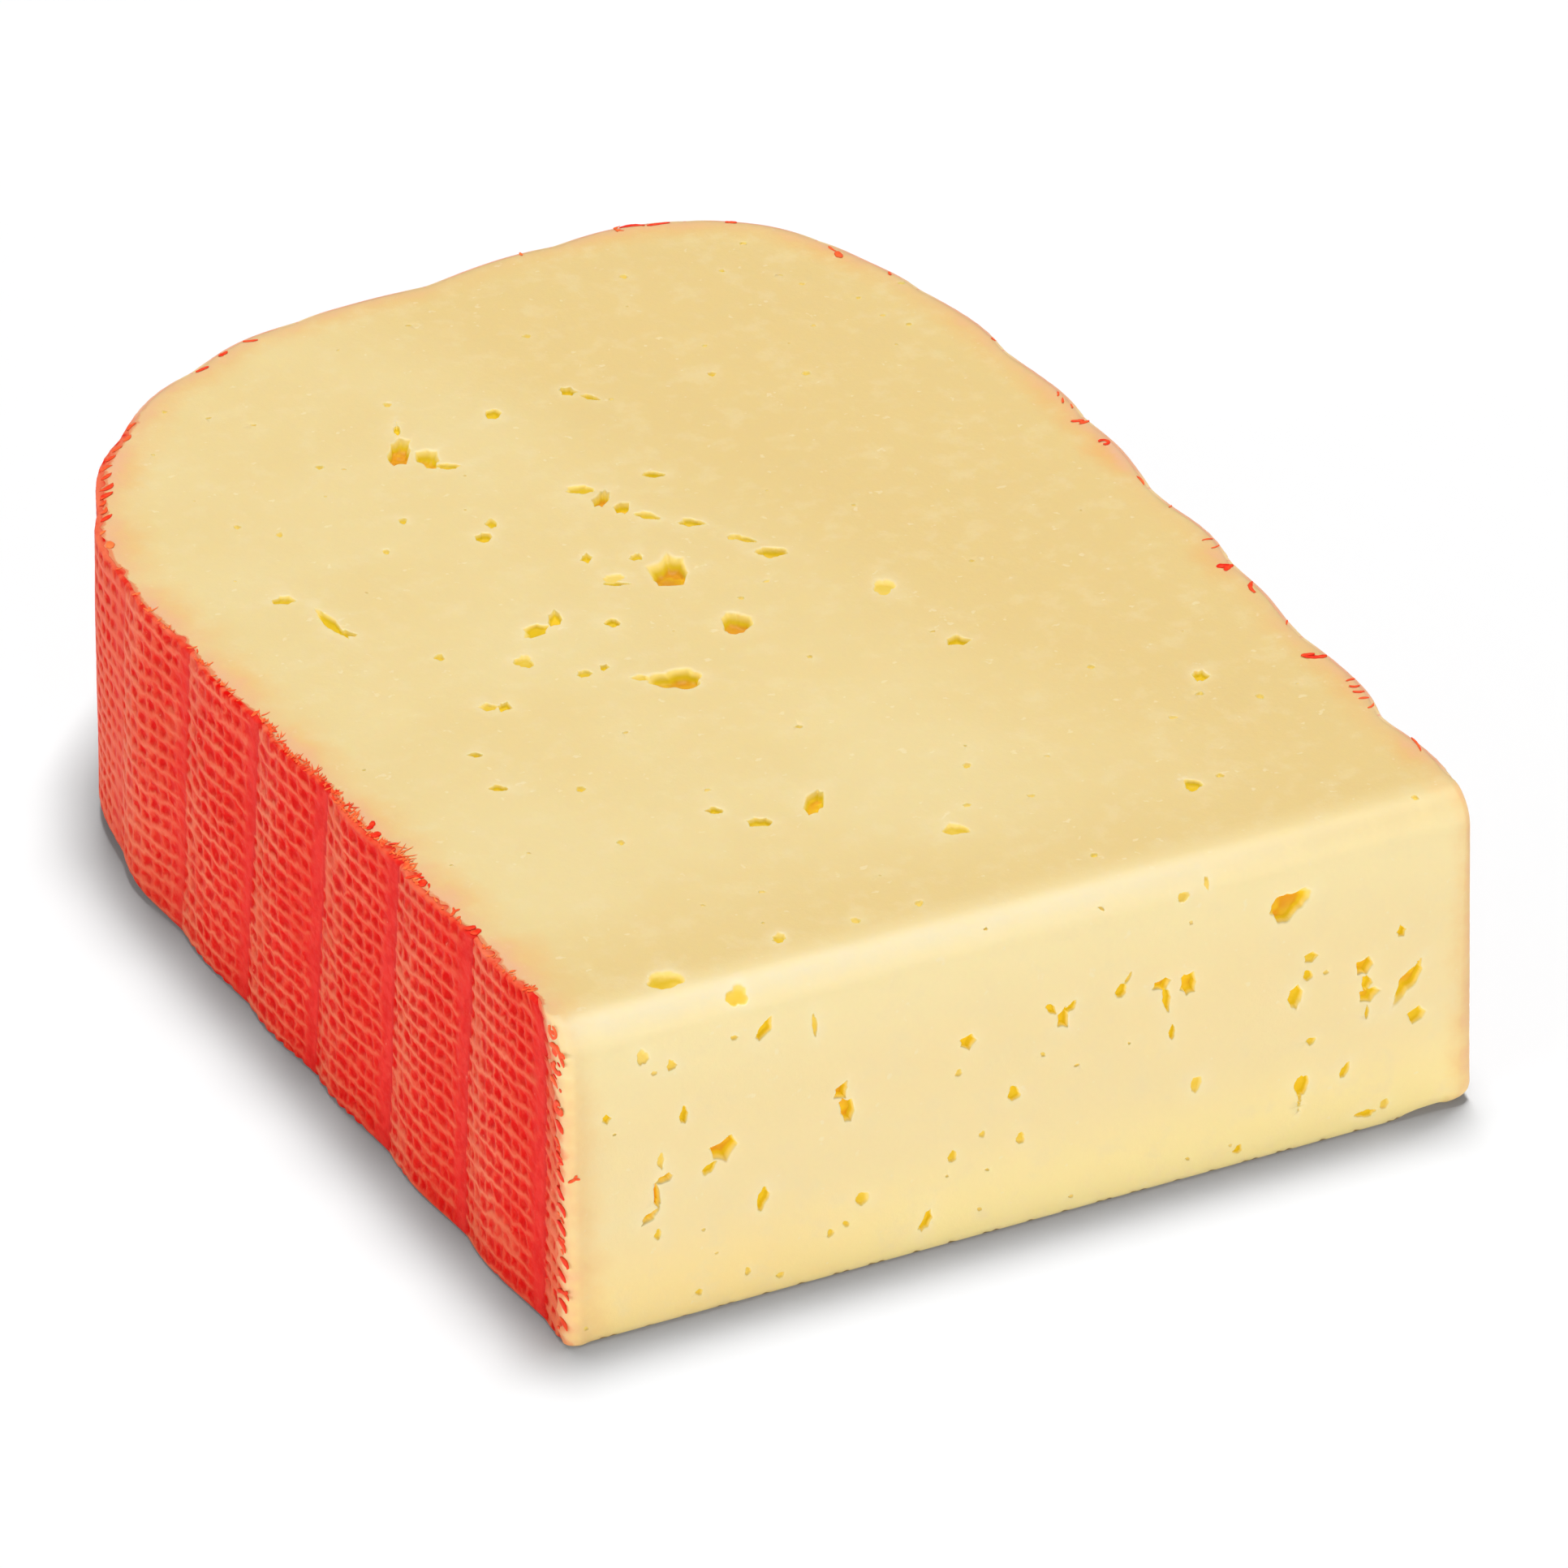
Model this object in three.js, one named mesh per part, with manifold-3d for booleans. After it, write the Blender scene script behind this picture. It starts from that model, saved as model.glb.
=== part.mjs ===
// A wedge of semi-soft cheese, lying on one of its cut faces, as a three.js scene graph.
// Units are millimetres, +Z is up. The straight front cut faces -Y, the rounded heel +Y.
// The rind wraps the two sides and the heel; the top, the front and the underside are cuts.

import * as THREE from 'three';
import { mergeVertices } from 'three/addons/utils/BufferGeometryUtils.js';
import Module from 'manifold-3d';

// ---------------------------------------------------------------- driving dimensions

const WIDTH = 90;               // straight front cut, from side to side
const LENGTH = 128.5;           // front cut to heel, along the middle
const HEIGHT = 33;              // underside to top cut

const LEFT_SPREAD = 0.079;      // how far the left side leans outwards, per mm of length
const HEEL_SLOPE = 0.12;        // the heel runs further back on the right
const SHOULDER_LENGTH = 74;     // the right side runs straight this far, then leans in
const SHOULDER_LEAN = 0.092;    // how far it leans in beyond that, per mm of length
const LEFT_HEEL_RADIUS = 40.5;
const RIGHT_HEEL_RADIUS = 26;
const SHOULDER_RADIUS = 140;
const LEFT_FLARE = 0.4;         // how much wider the left side stands at the underside
const RIGHT_FLARE = 1.0;        // the same on the right
const FRONT_FLARE = 0.8;        // the front cut comes forward this much at the underside

const RIM_RADIUS = 0.6;         // rind to top cut, and rind to underside
const HEEL_FOOT_RADIUS = 2.5;   // the same at the underside of the left heel, which is worn round
const HEEL_FOOT_PLACE = 100;    // middle of the worn foot, along the rind
const HEEL_FOOT_REACH = 16;     // length over which the wear dies out
const FRONT_EDGE_RADIUS = 3.2;  // soft edge between the top cut and the front cut
const FRONT_FOOT_RADIUS = 0.5;  // front cut to underside
const CORNER_RADIUS = 1.0;      // upright corners, front cut to rind
const FRONT_BLEND = 14;         // length over which the front rounding dies out along a side

const RIB_PITCH = 13.6;         // from crease to crease of the rind's ribs, at the front left
const RIB_PITCH_GROWTH = 0.041; // each rib is a little longer than the last
const FIRST_CREASE = 4.6;       // front left corner to the first crease
const RIB_DEPTH = 0.55;
const RIB_MIDDLE = 0.4;         // share of the depth that lies inside the plain outline
const RIB_SLANT = 3.6;          // a crease ends this much further back at the underside
const SLANT_RISE = 45;          // the creases nearer the front than this stand more upright
const RIB_CREST = 0.62;         // where a rib is fullest, as a share of its length

// Dents in the rind: middle, measured along it, depth (less than 0 for a swelling), reach.
const DENTS = [
  [146.5, -0.45, 3.5],
  [157, 0.4, 5],
  [189, -0.6, 4],
  [199.5, 0.4, 4],
  [211, 1.8, 8],
  [259, 0.75, 6],
  [265.5, 0.45, 4],
  [280, 0.3, 50],
  [288.5, 0.75, 4.5],
  [307.5, 0.4, 3],
];

const RIND_STEP = 1.75;         // spacing of the points along the rind
const FRONT_STEPS = 10;         // pieces of the front cut, from side to side

// Openings in the top cut: middle x and y, length, width, turn in degrees, depth.
const ALONG_SLICE = -25;
const TOP_OPENINGS = [
  [-17.9, 98.8, 3.4, 5.6, ALONG_SLICE, 3.4],
  [-16.0, 95.2, 3.2, 2.6, ALONG_SLICE, 1.2],
  [-17.0, 103.0, 1.0, 2.8, ALONG_SLICE, 1.2],
  [1.0, 102.7, 2.1, 2.2, ALONG_SLICE, 1.6],
  [2.3, 100.7, 1.6, 1.4, ALONG_SLICE, 1.0],
  [-7.3, 101.6, 1.5, 2.1, ALONG_SLICE, 1.2],
  [-4.4, 82.2, 1.7, 4.2, ALONG_SLICE, 3.0],
  [-5.6, 84.7, 2.2, 2.0, ALONG_SLICE, 0.9],
  [-3.5, 79.7, 1.7, 2.5, ALONG_SLICE, 1.8],
  [-2.2, 77.7, 2.4, 1.9, ALONG_SLICE, 0.8],
  [1.8, 84.3, 2.3, 1.4, ALONG_SLICE, 1.3],
  [1.3, 74.6, 2.6, 1.6, ALONG_SLICE, 1.5],
  [5.9, 66.4, 3.1, 2.3, ALONG_SLICE, 1.9],
  [4.7, 69.6, 2.4, 1.3, ALONG_SLICE, 1.0],
  [-4.3, 67.6, 4.6, 6.6, ALONG_SLICE, 3.4],
  [-2.5, 56.2, 2.6, 4.2, ALONG_SLICE, 2.6],
  [-12.0, 49.8, 4.9, 3.6, ALONG_SLICE, 2.4],
  [-17.2, 81.0, 1.9, 2.2, ALONG_SLICE, 1.4],
  [-10.4, 72.9, 1.4, 2.1, ALONG_SLICE, 1.2],
  [-9.8, 67.7, 2.7, 1.2, ALONG_SLICE, 1.2],
  [-17.6, 64.2, 1.9, 3.2, ALONG_SLICE, 1.8],
  [-20.3, 62.6, 2.2, 3.0, ALONG_SLICE, 0.9],
  [-23.1, 58.5, 1.7, 2.4, ALONG_SLICE, 1.0],
  [-12.9, 61.2, 1.5, 1.9, ALONG_SLICE, 1.2],
  [-18.4, 54.2, 2.4, 1.5, ALONG_SLICE, 1.2],
  [-28.6, 52.3, 2.9, 1.5, ALONG_SLICE, 1.3],
  [-39.0, 78.0, 2.5, 2.0, ALONG_SLICE, 1.2],
  [-36.9, 71.9, 6.8, 1.4, ALONG_SLICE - 58, 1.5],
  [-33.7, 45.5, 1.5, 1.1, ALONG_SLICE, 1.0],
  [-34.1, 39.4, 1.9, 1.2, ALONG_SLICE, 1.2],
  [-18.0, 27.6, 1.8, 1.3, ALONG_SLICE, 1.2],
  [-15.0, 24.1, 2.9, 1.9, ALONG_SLICE, 1.6],
  [-9.4, 24.8, 1.7, 4.4, ALONG_SLICE, 2.0],
  [14.8, 44.6, 2.6, 2.1, ALONG_SLICE, 1.6],
  [12.9, 56.4, 2.3, 2.7, ALONG_SLICE, 0.8],
  [32.2, 29.5, 1.9, 2.1, ALONG_SLICE, 1.3],
  [23.0, 13.1, 1.8, 1.8, ALONG_SLICE, 1.2],
  [0.3, 15.6, 2.2, 2.1, ALONG_SLICE, 0.8],
  [-33.4, 4.6, 3.1, 2.6, ALONG_SLICE, 0.8],
  [-21.6, 6.4, 1.7, 1.9, ALONG_SLICE, 0.8],
];

// Openings in the front cut: middle x and z, length, width, turn in degrees, depth.
const UPRIGHT = 90;
const FRONT_OPENINGS = [
  [-25.9, 28.1, 2.6, 1.2, 60, 1.4],
  [-33.9, 21.5, 1.9, 1.0, UPRIGHT, 1.2],
  [-30.2, 16.9, 3.0, 3.0, 0, 2.6],
  [-18.2, 18.5, 4.4, 1.7, 95, 2.8],
  [-36.6, 13.6, 3.0, 0.8, UPRIGHT, 1.2],
  [-37.3, 11.8, 1.9, 0.8, 35, 1.1],
  [-26.4, 10.5, 2.7, 1.1, 80, 1.5],
  [-16.5, 7.6, 1.6, 1.4, UPRIGHT, 1.0],
  [-6.0, 21.3, 1.9, 1.9, 0, 1.7],
  [-1.5, 14.5, 1.2, 1.4, 0, 1.2],
  [-10.2, 3.4, 2.6, 1.3, 65, 1.5],
  [3.4, 21.0, 2.4, 1.5, 80, 2.0],
  [4.1, 22.0, 1.4, 0.9, 50, 1.2],
  [2.2, 22.5, 1.4, 1.0, 120, 1.2],
  [9.3, 22.5, 1.5, 1.1, 60, 1.4],
  [13.6, 21.0, 3.7, 1.6, 100, 2.2],
  [16.0, 21.1, 3.4, 1.7, 105, 2.0],
  [14.4, 16.5, 1.6, 0.9, UPRIGHT, 1.3],
  [26.2, 26.6, 4.0, 2.9, 25, 2.8],
  [37.8, 20.8, 1.3, 1.4, 0, 1.3],
  [28.5, 20.3, 1.9, 1.4, 0, 1.1],
  [28.2, 18.6, 1.3, 1.2, 0, 1.2],
  [26.9, 16.5, 2.7, 1.7, 80, 1.8],
  [33.9, 18.0, 2.0, 1.9, 0, 2.6],
  [34.4, 15.0, 2.6, 2.2, 80, 2.4],
  [38.5, 15.2, 5.2, 1.9, 57, 2.0],
  [39.6, 11.2, 2.2, 2.0, UPRIGHT, 1.5],
  [32.3, 7.3, 1.8, 1.1, 65, 1.1],
  [27.8, 6.5, 3.6, 1.3, 85, 1.8],
  [17.0, 10.2, 1.9, 1.1, 75, 0.9],
  [34.6, 2.3, 2.2, 1.0, 5, 1.1],
];

const OPENING_ROUGHNESS = 0.16; // unevenness of an opening's wall, as a share of its size
const OPENING_DETAIL = 1;
const RANDOM_SEED = 11;

// ---------------------------------------------------------------- helpers

// A small seeded generator of numbers between 0 and 1.
function makeRandom(seed) {
  let state = seed >>> 0;
  return () => {
    state = (state + 0x6d2b79f5) >>> 0;
    let mixed = Math.imul(state ^ (state >>> 15), 1 | state);
    mixed = (mixed + Math.imul(mixed ^ (mixed >>> 7), 61 | mixed)) ^ mixed;
    return ((mixed ^ (mixed >>> 14)) >>> 0) / 4294967296;
  };
}

// The arc that rounds the corner between two straight edges.
function roundedCorner(before, corner, after, radius) {
  const toBefore = before.clone().sub(corner).normalize();
  const toAfter = after.clone().sub(corner).normalize();
  const halfAngle = Math.acos(toBefore.dot(toAfter)) / 2;
  const reach = radius / Math.tan(halfAngle);
  const start = corner.clone().addScaledVector(toBefore, reach);
  const end = corner.clone().addScaledVector(toAfter, reach);
  const towards = toBefore.clone().add(toAfter).normalize();
  const centre = corner.clone().addScaledVector(towards, radius / Math.sin(halfAngle));
  const startAngle = Math.atan2(start.y - centre.y, start.x - centre.x);
  const endAngle = Math.atan2(end.y - centre.y, end.x - centre.x);
  const arc = new THREE.EllipseCurve(centre.x, centre.y, radius, radius, startAngle, endAngle, true);
  return { start, end, arc };
}

// How far a quarter-round edge of the given radius has come in, at a distance below the edge.
function roundingInset(distance, radius) {
  if (distance >= radius) return 0;
  const rise = radius - distance;
  return radius - Math.sqrt(Math.max(0, radius * radius - rise * rise));
}

// A rounded hump, 1 at its middle, that dies out over its reach.
function hump(place, middle, reach) {
  return Math.exp(-(((place - middle) / reach) ** 2));
}

// ---------------------------------------------------------------- outline of the wedge

// The rind's outline, from the front left corner round the heel to the front right corner.
function rindOutline() {
  const heelAt = (x) => LENGTH + HEEL_SLOPE * x;
  const frontLeft = new THREE.Vector2(-WIDTH / 2, 0);
  const frontRight = new THREE.Vector2(WIDTH / 2, 0);
  const shoulder = new THREE.Vector2(WIDTH / 2, SHOULDER_LENGTH);
  const leftRun = heelAt(-WIDTH / 2) / (1 + HEEL_SLOPE * LEFT_SPREAD);
  const heelLeft = new THREE.Vector2(-WIDTH / 2 - LEFT_SPREAD * leftRun, leftRun);
  const backRun = (heelAt(WIDTH / 2) - SHOULDER_LENGTH) / (1 + HEEL_SLOPE * SHOULDER_LEAN);
  const heelRight = shoulder.clone().add(new THREE.Vector2(-SHOULDER_LEAN * backRun, backRun));

  const corners = [
    [frontRight, frontLeft, heelLeft, CORNER_RADIUS],
    [frontLeft, heelLeft, heelRight, LEFT_HEEL_RADIUS],
    [heelLeft, heelRight, shoulder, RIGHT_HEEL_RADIUS],
    [heelRight, shoulder, frontRight, SHOULDER_RADIUS],
    [shoulder, frontRight, frontLeft, CORNER_RADIUS],
  ].map(([before, corner, after, radius]) => roundedCorner(before, corner, after, radius));

  const path = new THREE.CurvePath();
  corners.forEach((corner, index) => {
    if (index > 0) path.add(new THREE.LineCurve(corners[index - 1].end, corner.start));
    path.add(corner.arc);
  });
  return path;
}

// Distances of the creases between the ribs, measured along the rind.
function creasePlaces(length) {
  const places = [FIRST_CREASE - RIB_PITCH];
  for (let rib = 0; places[places.length - 1] < length + RIB_PITCH; rib += 1) {
    places.push(FIRST_CREASE + rib * RIB_PITCH + rib * (rib - 1) * RIB_PITCH_GROWTH);
  }
  return places;
}

// Fullness of a rib from 0 in the crease to 1 at the crest: a slow rise and a quick fall.
function ribFullness(along, z, creases) {
  const slant = RIB_SLANT * Math.min(1, along / SLANT_RISE);
  const place = along - slant * (1 - z / HEIGHT);
  const next = creases.findIndex((crease) => crease > place);
  if (next < 1) return 0;
  const share = (place - creases[next - 1]) / (creases[next] - creases[next - 1]);
  return Math.sin(Math.PI * Math.pow(share, Math.log(0.5) / Math.log(RIB_CREST)));
}

// How far the rind lies inside the plain outline, apart from its ribs.
function dentDepth(along) {
  return DENTS.reduce((sum, [middle, depth, reach]) => sum + depth * hump(along, middle, reach), 0);
}

// How much wider the wedge stands at the underside than at the top cut.
function flareAt(along, length) {
  return LEFT_FLARE + (RIGHT_FLARE - LEFT_FLARE) * (along / length);
}

// How far the rounding of the rim has drawn the rind in, at a height.
function rimInset(along, z) {
  const wear = hump(along, HEEL_FOOT_PLACE, HEEL_FOOT_REACH);
  const footRadius = RIM_RADIUS + (HEEL_FOOT_RADIUS - RIM_RADIUS) * wear;
  return roundingInset(z, footRadius) + roundingInset(HEIGHT - z, RIM_RADIUS);
}

// One closed loop of points round the wedge for each height.
function wedgeLoops() {
  const path = rindOutline();
  const length = path.getLength();
  const creases = creasePlaces(length);
  const steps = Math.round(length / RIND_STEP);
  const heights = [
    0,
    RIM_RADIUS * 0.3,
    RIM_RADIUS,
    HEEL_FOOT_RADIUS * 0.55,
    HEEL_FOOT_RADIUS,
    HEIGHT / 2,
    HEIGHT - FRONT_EDGE_RADIUS,
    HEIGHT - FRONT_EDGE_RADIUS * 0.6,
    HEIGHT - FRONT_EDGE_RADIUS * 0.29,
    HEIGHT - FRONT_EDGE_RADIUS * 0.075,
    HEIGHT,
  ];

  return heights.map((z) => {
    const lowness = 1 - z / HEIGHT;
    const frontRounding = roundingInset(HEIGHT - z, FRONT_EDGE_RADIUS) + roundingInset(z, FRONT_FOOT_RADIUS);
    const frontInset = frontRounding - FRONT_FLARE * lowness;
    const loop = [];
    for (let step = 0; step <= steps; step += 1) {
      const share = step / steps;
      const point = path.getPointAt(share);
      const heading = path.getTangentAt(share);
      const along = share * length;
      const ribs = RIB_DEPTH * (ribFullness(along, z, creases) - RIB_MIDDLE);
      const settle = Math.min(1, point.y / FRONT_EDGE_RADIUS);
      const outline = flareAt(along, length) * lowness - dentDepth(along);
      const outwards = outline + settle * (ribs - rimInset(along, z));
      const x = point.x - heading.y * outwards;
      const y = point.y + heading.x * outwards * settle;
      loop.push([x, y + frontInset * Math.max(0, 1 - y / FRONT_BLEND), z]);
    }
    const [rightX] = loop[loop.length - 1];
    const [leftX] = loop[0];
    for (let step = 1; step < FRONT_STEPS; step += 1) {
      loop.push([rightX + (leftX - rightX) * (step / FRONT_STEPS), frontInset, z]);
    }
    return loop;
  });
}

// The whole wedge before its openings, skinned over the loops and closed at both ends.
function wedgeBody() {
  const loops = wedgeLoops();
  const count = loops[0].length;
  const positions = loops.flat(2);
  const faces = [];
  for (let level = 0; level + 1 < loops.length; level += 1) {
    for (let index = 0; index < count; index += 1) {
      const here = level * count + index;
      const next = level * count + ((index + 1) % count);
      faces.push(here, here + count, next);
      faces.push(next, here + count, next + count);
    }
  }
  const flat = (loop) => loop.map(([x, y]) => new THREE.Vector2(x, y));
  const topStart = (loops.length - 1) * count;
  THREE.ShapeUtils.triangulateShape(flat(loops[0]), []).forEach(([a, b, c]) => faces.push(a, c, b));
  THREE.ShapeUtils.triangulateShape(flat(loops[loops.length - 1]), []).forEach(([a, b, c]) => {
    faces.push(topStart + a, topStart + b, topStart + c);
  });
  const geometry = new THREE.BufferGeometry();
  geometry.setAttribute('position', new THREE.Float32BufferAttribute(positions, 3));
  geometry.setIndex(faces);
  return geometry;
}

// ---------------------------------------------------------------- openings

// A lumpy, squashed ball that scoops one opening out of a cut face.
function openingShape(length, width, depth, random) {
  const geometry = new THREE.IcosahedronGeometry(0.5, OPENING_DETAIL);
  geometry.deleteAttribute('normal');
  geometry.deleteAttribute('uv');
  const merged = mergeVertices(geometry);
  const position = merged.attributes.position;
  for (let index = 0; index < position.count; index += 1) {
    const swell = 1 + OPENING_ROUGHNESS * (2 * random() - 1);
    position.setXYZ(
      index,
      position.getX(index) * length * swell,
      position.getY(index) * width * swell,
      position.getZ(index) * 2 * depth * swell,
    );
  }
  return merged;
}

// All the openings of one cut face, placed by the matrix that carries the face.
function openingsOn(face, rows, random) {
  return rows.map(([along, across, length, width, turn, depth]) => {
    const shape = openingShape(length, width, depth, random);
    const place = new THREE.Matrix4().makeTranslation(along, across, 0);
    place.multiply(new THREE.Matrix4().makeRotationZ(THREE.MathUtils.degToRad(turn)));
    shape.applyMatrix4(place.premultiply(face));
    return shape;
  });
}

function topFace() {
  return new THREE.Matrix4().makeTranslation(0, 0, HEIGHT);
}

// The front cut leans back, from its foot up.
function frontFace() {
  const lean = Math.atan(FRONT_FLARE / HEIGHT);
  const foot = new THREE.Matrix4().makeTranslation(0, -FRONT_FLARE, 0);
  return foot.multiply(new THREE.Matrix4().makeRotationX(Math.PI / 2 - lean));
}

// ---------------------------------------------------------------- booleans

function toManifold(wasm, geometry) {
  const mesh = new wasm.Mesh({
    numProp: 3,
    vertProperties: new Float32Array(geometry.attributes.position.array),
    triVerts: new Uint32Array(geometry.index.array),
  });
  return new wasm.Manifold(mesh);
}

function fromManifold(solid) {
  const mesh = solid.getMesh();
  const geometry = new THREE.BufferGeometry();
  geometry.setAttribute('position', new THREE.Float32BufferAttribute(mesh.vertProperties, 3));
  geometry.setIndex(Array.from(mesh.triVerts));
  geometry.computeVertexNormals();
  return geometry;
}

// ---------------------------------------------------------------- the wedge

const wasm = await Module();
wasm.setup();

const random = makeRandom(RANDOM_SEED);
const openings = [
  ...openingsOn(topFace(), TOP_OPENINGS, random),
  ...openingsOn(frontFace(), FRONT_OPENINGS, random),
];

let wedge = toManifold(wasm, wedgeBody());
for (const opening of openings) {
  wedge = wedge.subtract(toManifold(wasm, opening));
}

// The origin goes to the middle of the underside's bounding box.
const wedgeGeometry = fromManifold(wedge);
wedgeGeometry.computeBoundingBox();
const middle = wedgeGeometry.boundingBox.getCenter(new THREE.Vector3());
wedgeGeometry.translate(-middle.x, -middle.y, -wedgeGeometry.boundingBox.min.z);

const paste = new THREE.MeshStandardMaterial({ color: 0xf2dc9c, roughness: 0.55, metalness: 0 });
const cheeseWedge = new THREE.Mesh(wedgeGeometry, paste);
cheeseWedge.name = 'cheese_wedge';

const group = new THREE.Group();
group.name = 'cheese';
group.add(cheeseWedge);

export default group;
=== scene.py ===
"""A wedge of semi-soft cheese with a woven red-orange rind, on a pale studio floor."""

import math

import bpy
import numpy as np
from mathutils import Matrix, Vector
from mathutils.geometry import delaunay_2d_cdt


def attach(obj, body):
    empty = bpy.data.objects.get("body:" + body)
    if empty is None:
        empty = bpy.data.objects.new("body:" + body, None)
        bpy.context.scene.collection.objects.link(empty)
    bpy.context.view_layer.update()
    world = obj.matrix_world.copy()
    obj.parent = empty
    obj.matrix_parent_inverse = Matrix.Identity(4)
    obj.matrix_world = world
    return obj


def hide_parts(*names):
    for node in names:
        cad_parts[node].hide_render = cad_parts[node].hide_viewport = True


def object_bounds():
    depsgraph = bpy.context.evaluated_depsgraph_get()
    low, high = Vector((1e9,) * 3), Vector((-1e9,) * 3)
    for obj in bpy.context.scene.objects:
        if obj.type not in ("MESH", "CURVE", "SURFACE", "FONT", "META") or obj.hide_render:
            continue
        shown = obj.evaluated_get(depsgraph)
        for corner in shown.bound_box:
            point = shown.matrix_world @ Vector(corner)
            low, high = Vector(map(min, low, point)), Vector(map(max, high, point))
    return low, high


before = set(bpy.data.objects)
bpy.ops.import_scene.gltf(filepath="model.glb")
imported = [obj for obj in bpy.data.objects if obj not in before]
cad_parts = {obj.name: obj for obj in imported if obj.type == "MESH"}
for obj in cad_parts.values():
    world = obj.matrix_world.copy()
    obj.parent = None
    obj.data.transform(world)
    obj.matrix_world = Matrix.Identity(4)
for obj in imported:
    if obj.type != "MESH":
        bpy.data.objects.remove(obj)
cad_low, cad_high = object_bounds()

# ------------------------------------------------------------------ sizes, in millimetres
# The wedge's own frame has its origin at the middle of the front cut's foot, which faces -Y.
# The driving dimensions are the CAD model's. Only the rim is crisper.

MM = 0.001
WIDTH = 90.0
LENGTH = 128.5
HEIGHT = (cad_high.z - cad_low.z) / MM

LEFT_SPREAD = 0.079
HEEL_SLOPE = 0.12
SHOULDER_LENGTH = 74.0
SHOULDER_LEAN = 0.092
LEFT_HEEL_RADIUS = 40.5
RIGHT_HEEL_RADIUS = 26.0
SHOULDER_RADIUS = 140.0
LEFT_FLARE = 0.4
RIGHT_FLARE = 1.0
FRONT_FLARE = 0.8

RIM_RADIUS = 0.35
HEEL_FOOT_RADIUS = 2.5     # the foot of the left heel is worn round
HEEL_WEAR = [(100.0, 1.0, 16.0)]    # distance along the rind, amount, reach
FRONT_EDGE_RADIUS = 3.2
FRONT_FOOT_RADIUS = 0.5
CORNER_RADIUS = 1.0
FRONT_BLEND = 14.0
WORN_FOOT_RADIUS = 2.0     # the foot of the front right corner is worn round
WORN_FOOT_WIDTH = 8.0
WORN_FOOT_LENGTH = 12.0

RIB_PITCH = 13.6
RIB_PITCH_GROWTH = 0.041
FIRST_CREASE = 4.6
RIB_DEPTH = 0.55
RIB_MIDDLE = 0.4
RIB_SLANT = 3.6
SLANT_RISE = 45.0
RIB_CREST = 0.62
# Dents in the rind: distance along it, depth (a swelling if it is negative), reach.
DENTS = [
    (146.5, -0.45, 3.5),
    (157.0, 0.4, 5.0),
    (189.0, -0.6, 4.0),
    (199.5, 0.4, 4.0),
    (211.0, 1.8, 8.0),
    (259.0, 0.75, 6.0),
    (265.5, 0.45, 4.0),
    (280.0, 0.3, 50.0),
    (288.5, 0.75, 4.5),
    (307.5, 0.4, 3.0),
]
BAND_SHARE = 0.17          # the smooth band behind each crease, as a share of the rib

THREAD_PITCH = 1.82        # cloth weave pressed into the rind, along it
CLOSE_PITCH = 1.36         # it is drawn closer at the front left corner
CLOSE_REACH = (14.0, 50.0) # and opens out over this stretch
ROW_PITCH = 1.82           # and up it
ROW_PHASE = 0.72           # where the top cut goes through a row of cells
ROW_DROOP = 1.1            # rows that the weave drops by at the front left corner
ROW_DROOP_REACH = 2.4
WEAVE_DEPTH = 0.26
CELL_LENGTH = 0.40         # half length and half height of a cell, in pitches
CELL_HEIGHT = 0.29
CELL_SQUARENESS = 2.4      # 2 would make the cells oval, and more makes them squarer
BARE_BAND = 0.85           # share of the weave's depth that a smooth band has lost
# Unevenness: amount, size of its lumps, seed. The threads' and rows' amounts are in pitches.
THREAD_WAVES = ((0.34, 5.0, 11), (0.20, 1.9, 12))
ROW_WAVES = ((0.36, 11.0, 13), (0.18, 2.6, 14))
CREASE_WAVES = ((0.25, 9.0, 3),)
SAG_WAVES = ((0.12, 8.0, 22),)
WEAR_WAVES = ((0.25, 6.0, 21),)

# Teeth of torn rind: the longest, seed, and how uneven they are.
EDGE_START = 2.9           # the rind ends this far round the front left corner
EDGE_TEETH = (1.2, 41, 0.7)
EDGE_TEAR = 1.5            # more is torn off near the top
EDGE_TEAR_RISE = (23.0, 29.0)
EDGE_END = 2.3             # and the rind ends this far round the front right corner
END_TEETH = (0.5, 42, 0.7)
TEETH_PHASE = 0.4          # place of the teeth against the rows of the weave
LIP = 0.12                 # the rind laps over the top cut by this much
LIP_TEETH = (0.7, 43, 2.2)
LIP_ENDS = (5.0, 8.0)      # the teeth of the lip grow over this stretch from each end
CLAWS = (94.0, 118.0)      # stretch of the heel with the densest teeth
CLAW_TEETH = (0.5, 44, 0.5)
TOOTH_LENGTHS = 512

BACK_START = (116.0, 126.0)    # round the heel, where the rind's colour is smeared over its edge

FINE_STRETCH = 96.0        # the columns of points stand closer up to here
FINE_STATIONS = 330
RIND_STATIONS = 852
STRIP_STATIONS = 8         # columns of points on the paste that shows round a front corner
WALL_ROWS = 99
RIM_ROWS = 4
LIP_ROWS = 3
EDGE_WARP = 6.0            # length over which the columns fall in with the broken edge
FACE_STEP = 1.15           # spacing of the points on the plain cut faces
BEND_STEP = 0.55           # and on the rounded edge between them
INNER_STEP = 4.0           # and on the hidden faces between rind and paste
RIM_STEP = 0.17            # and round an opening
CUT_WAVES = 0.16           # depth of the broad and the small unevenness of the cuts
CUT_RIPPLES = 0.05
RIND_THICKNESS = 0.8
PASTE_GAP = 0.15


def smoothstep(low, high, value):
    """0 below low, 1 above high, with a smooth rise between them."""
    share = np.clip((value - low) / (high - low), 0.0, 1.0)
    return share * share * (3.0 - 2.0 * share)


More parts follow.
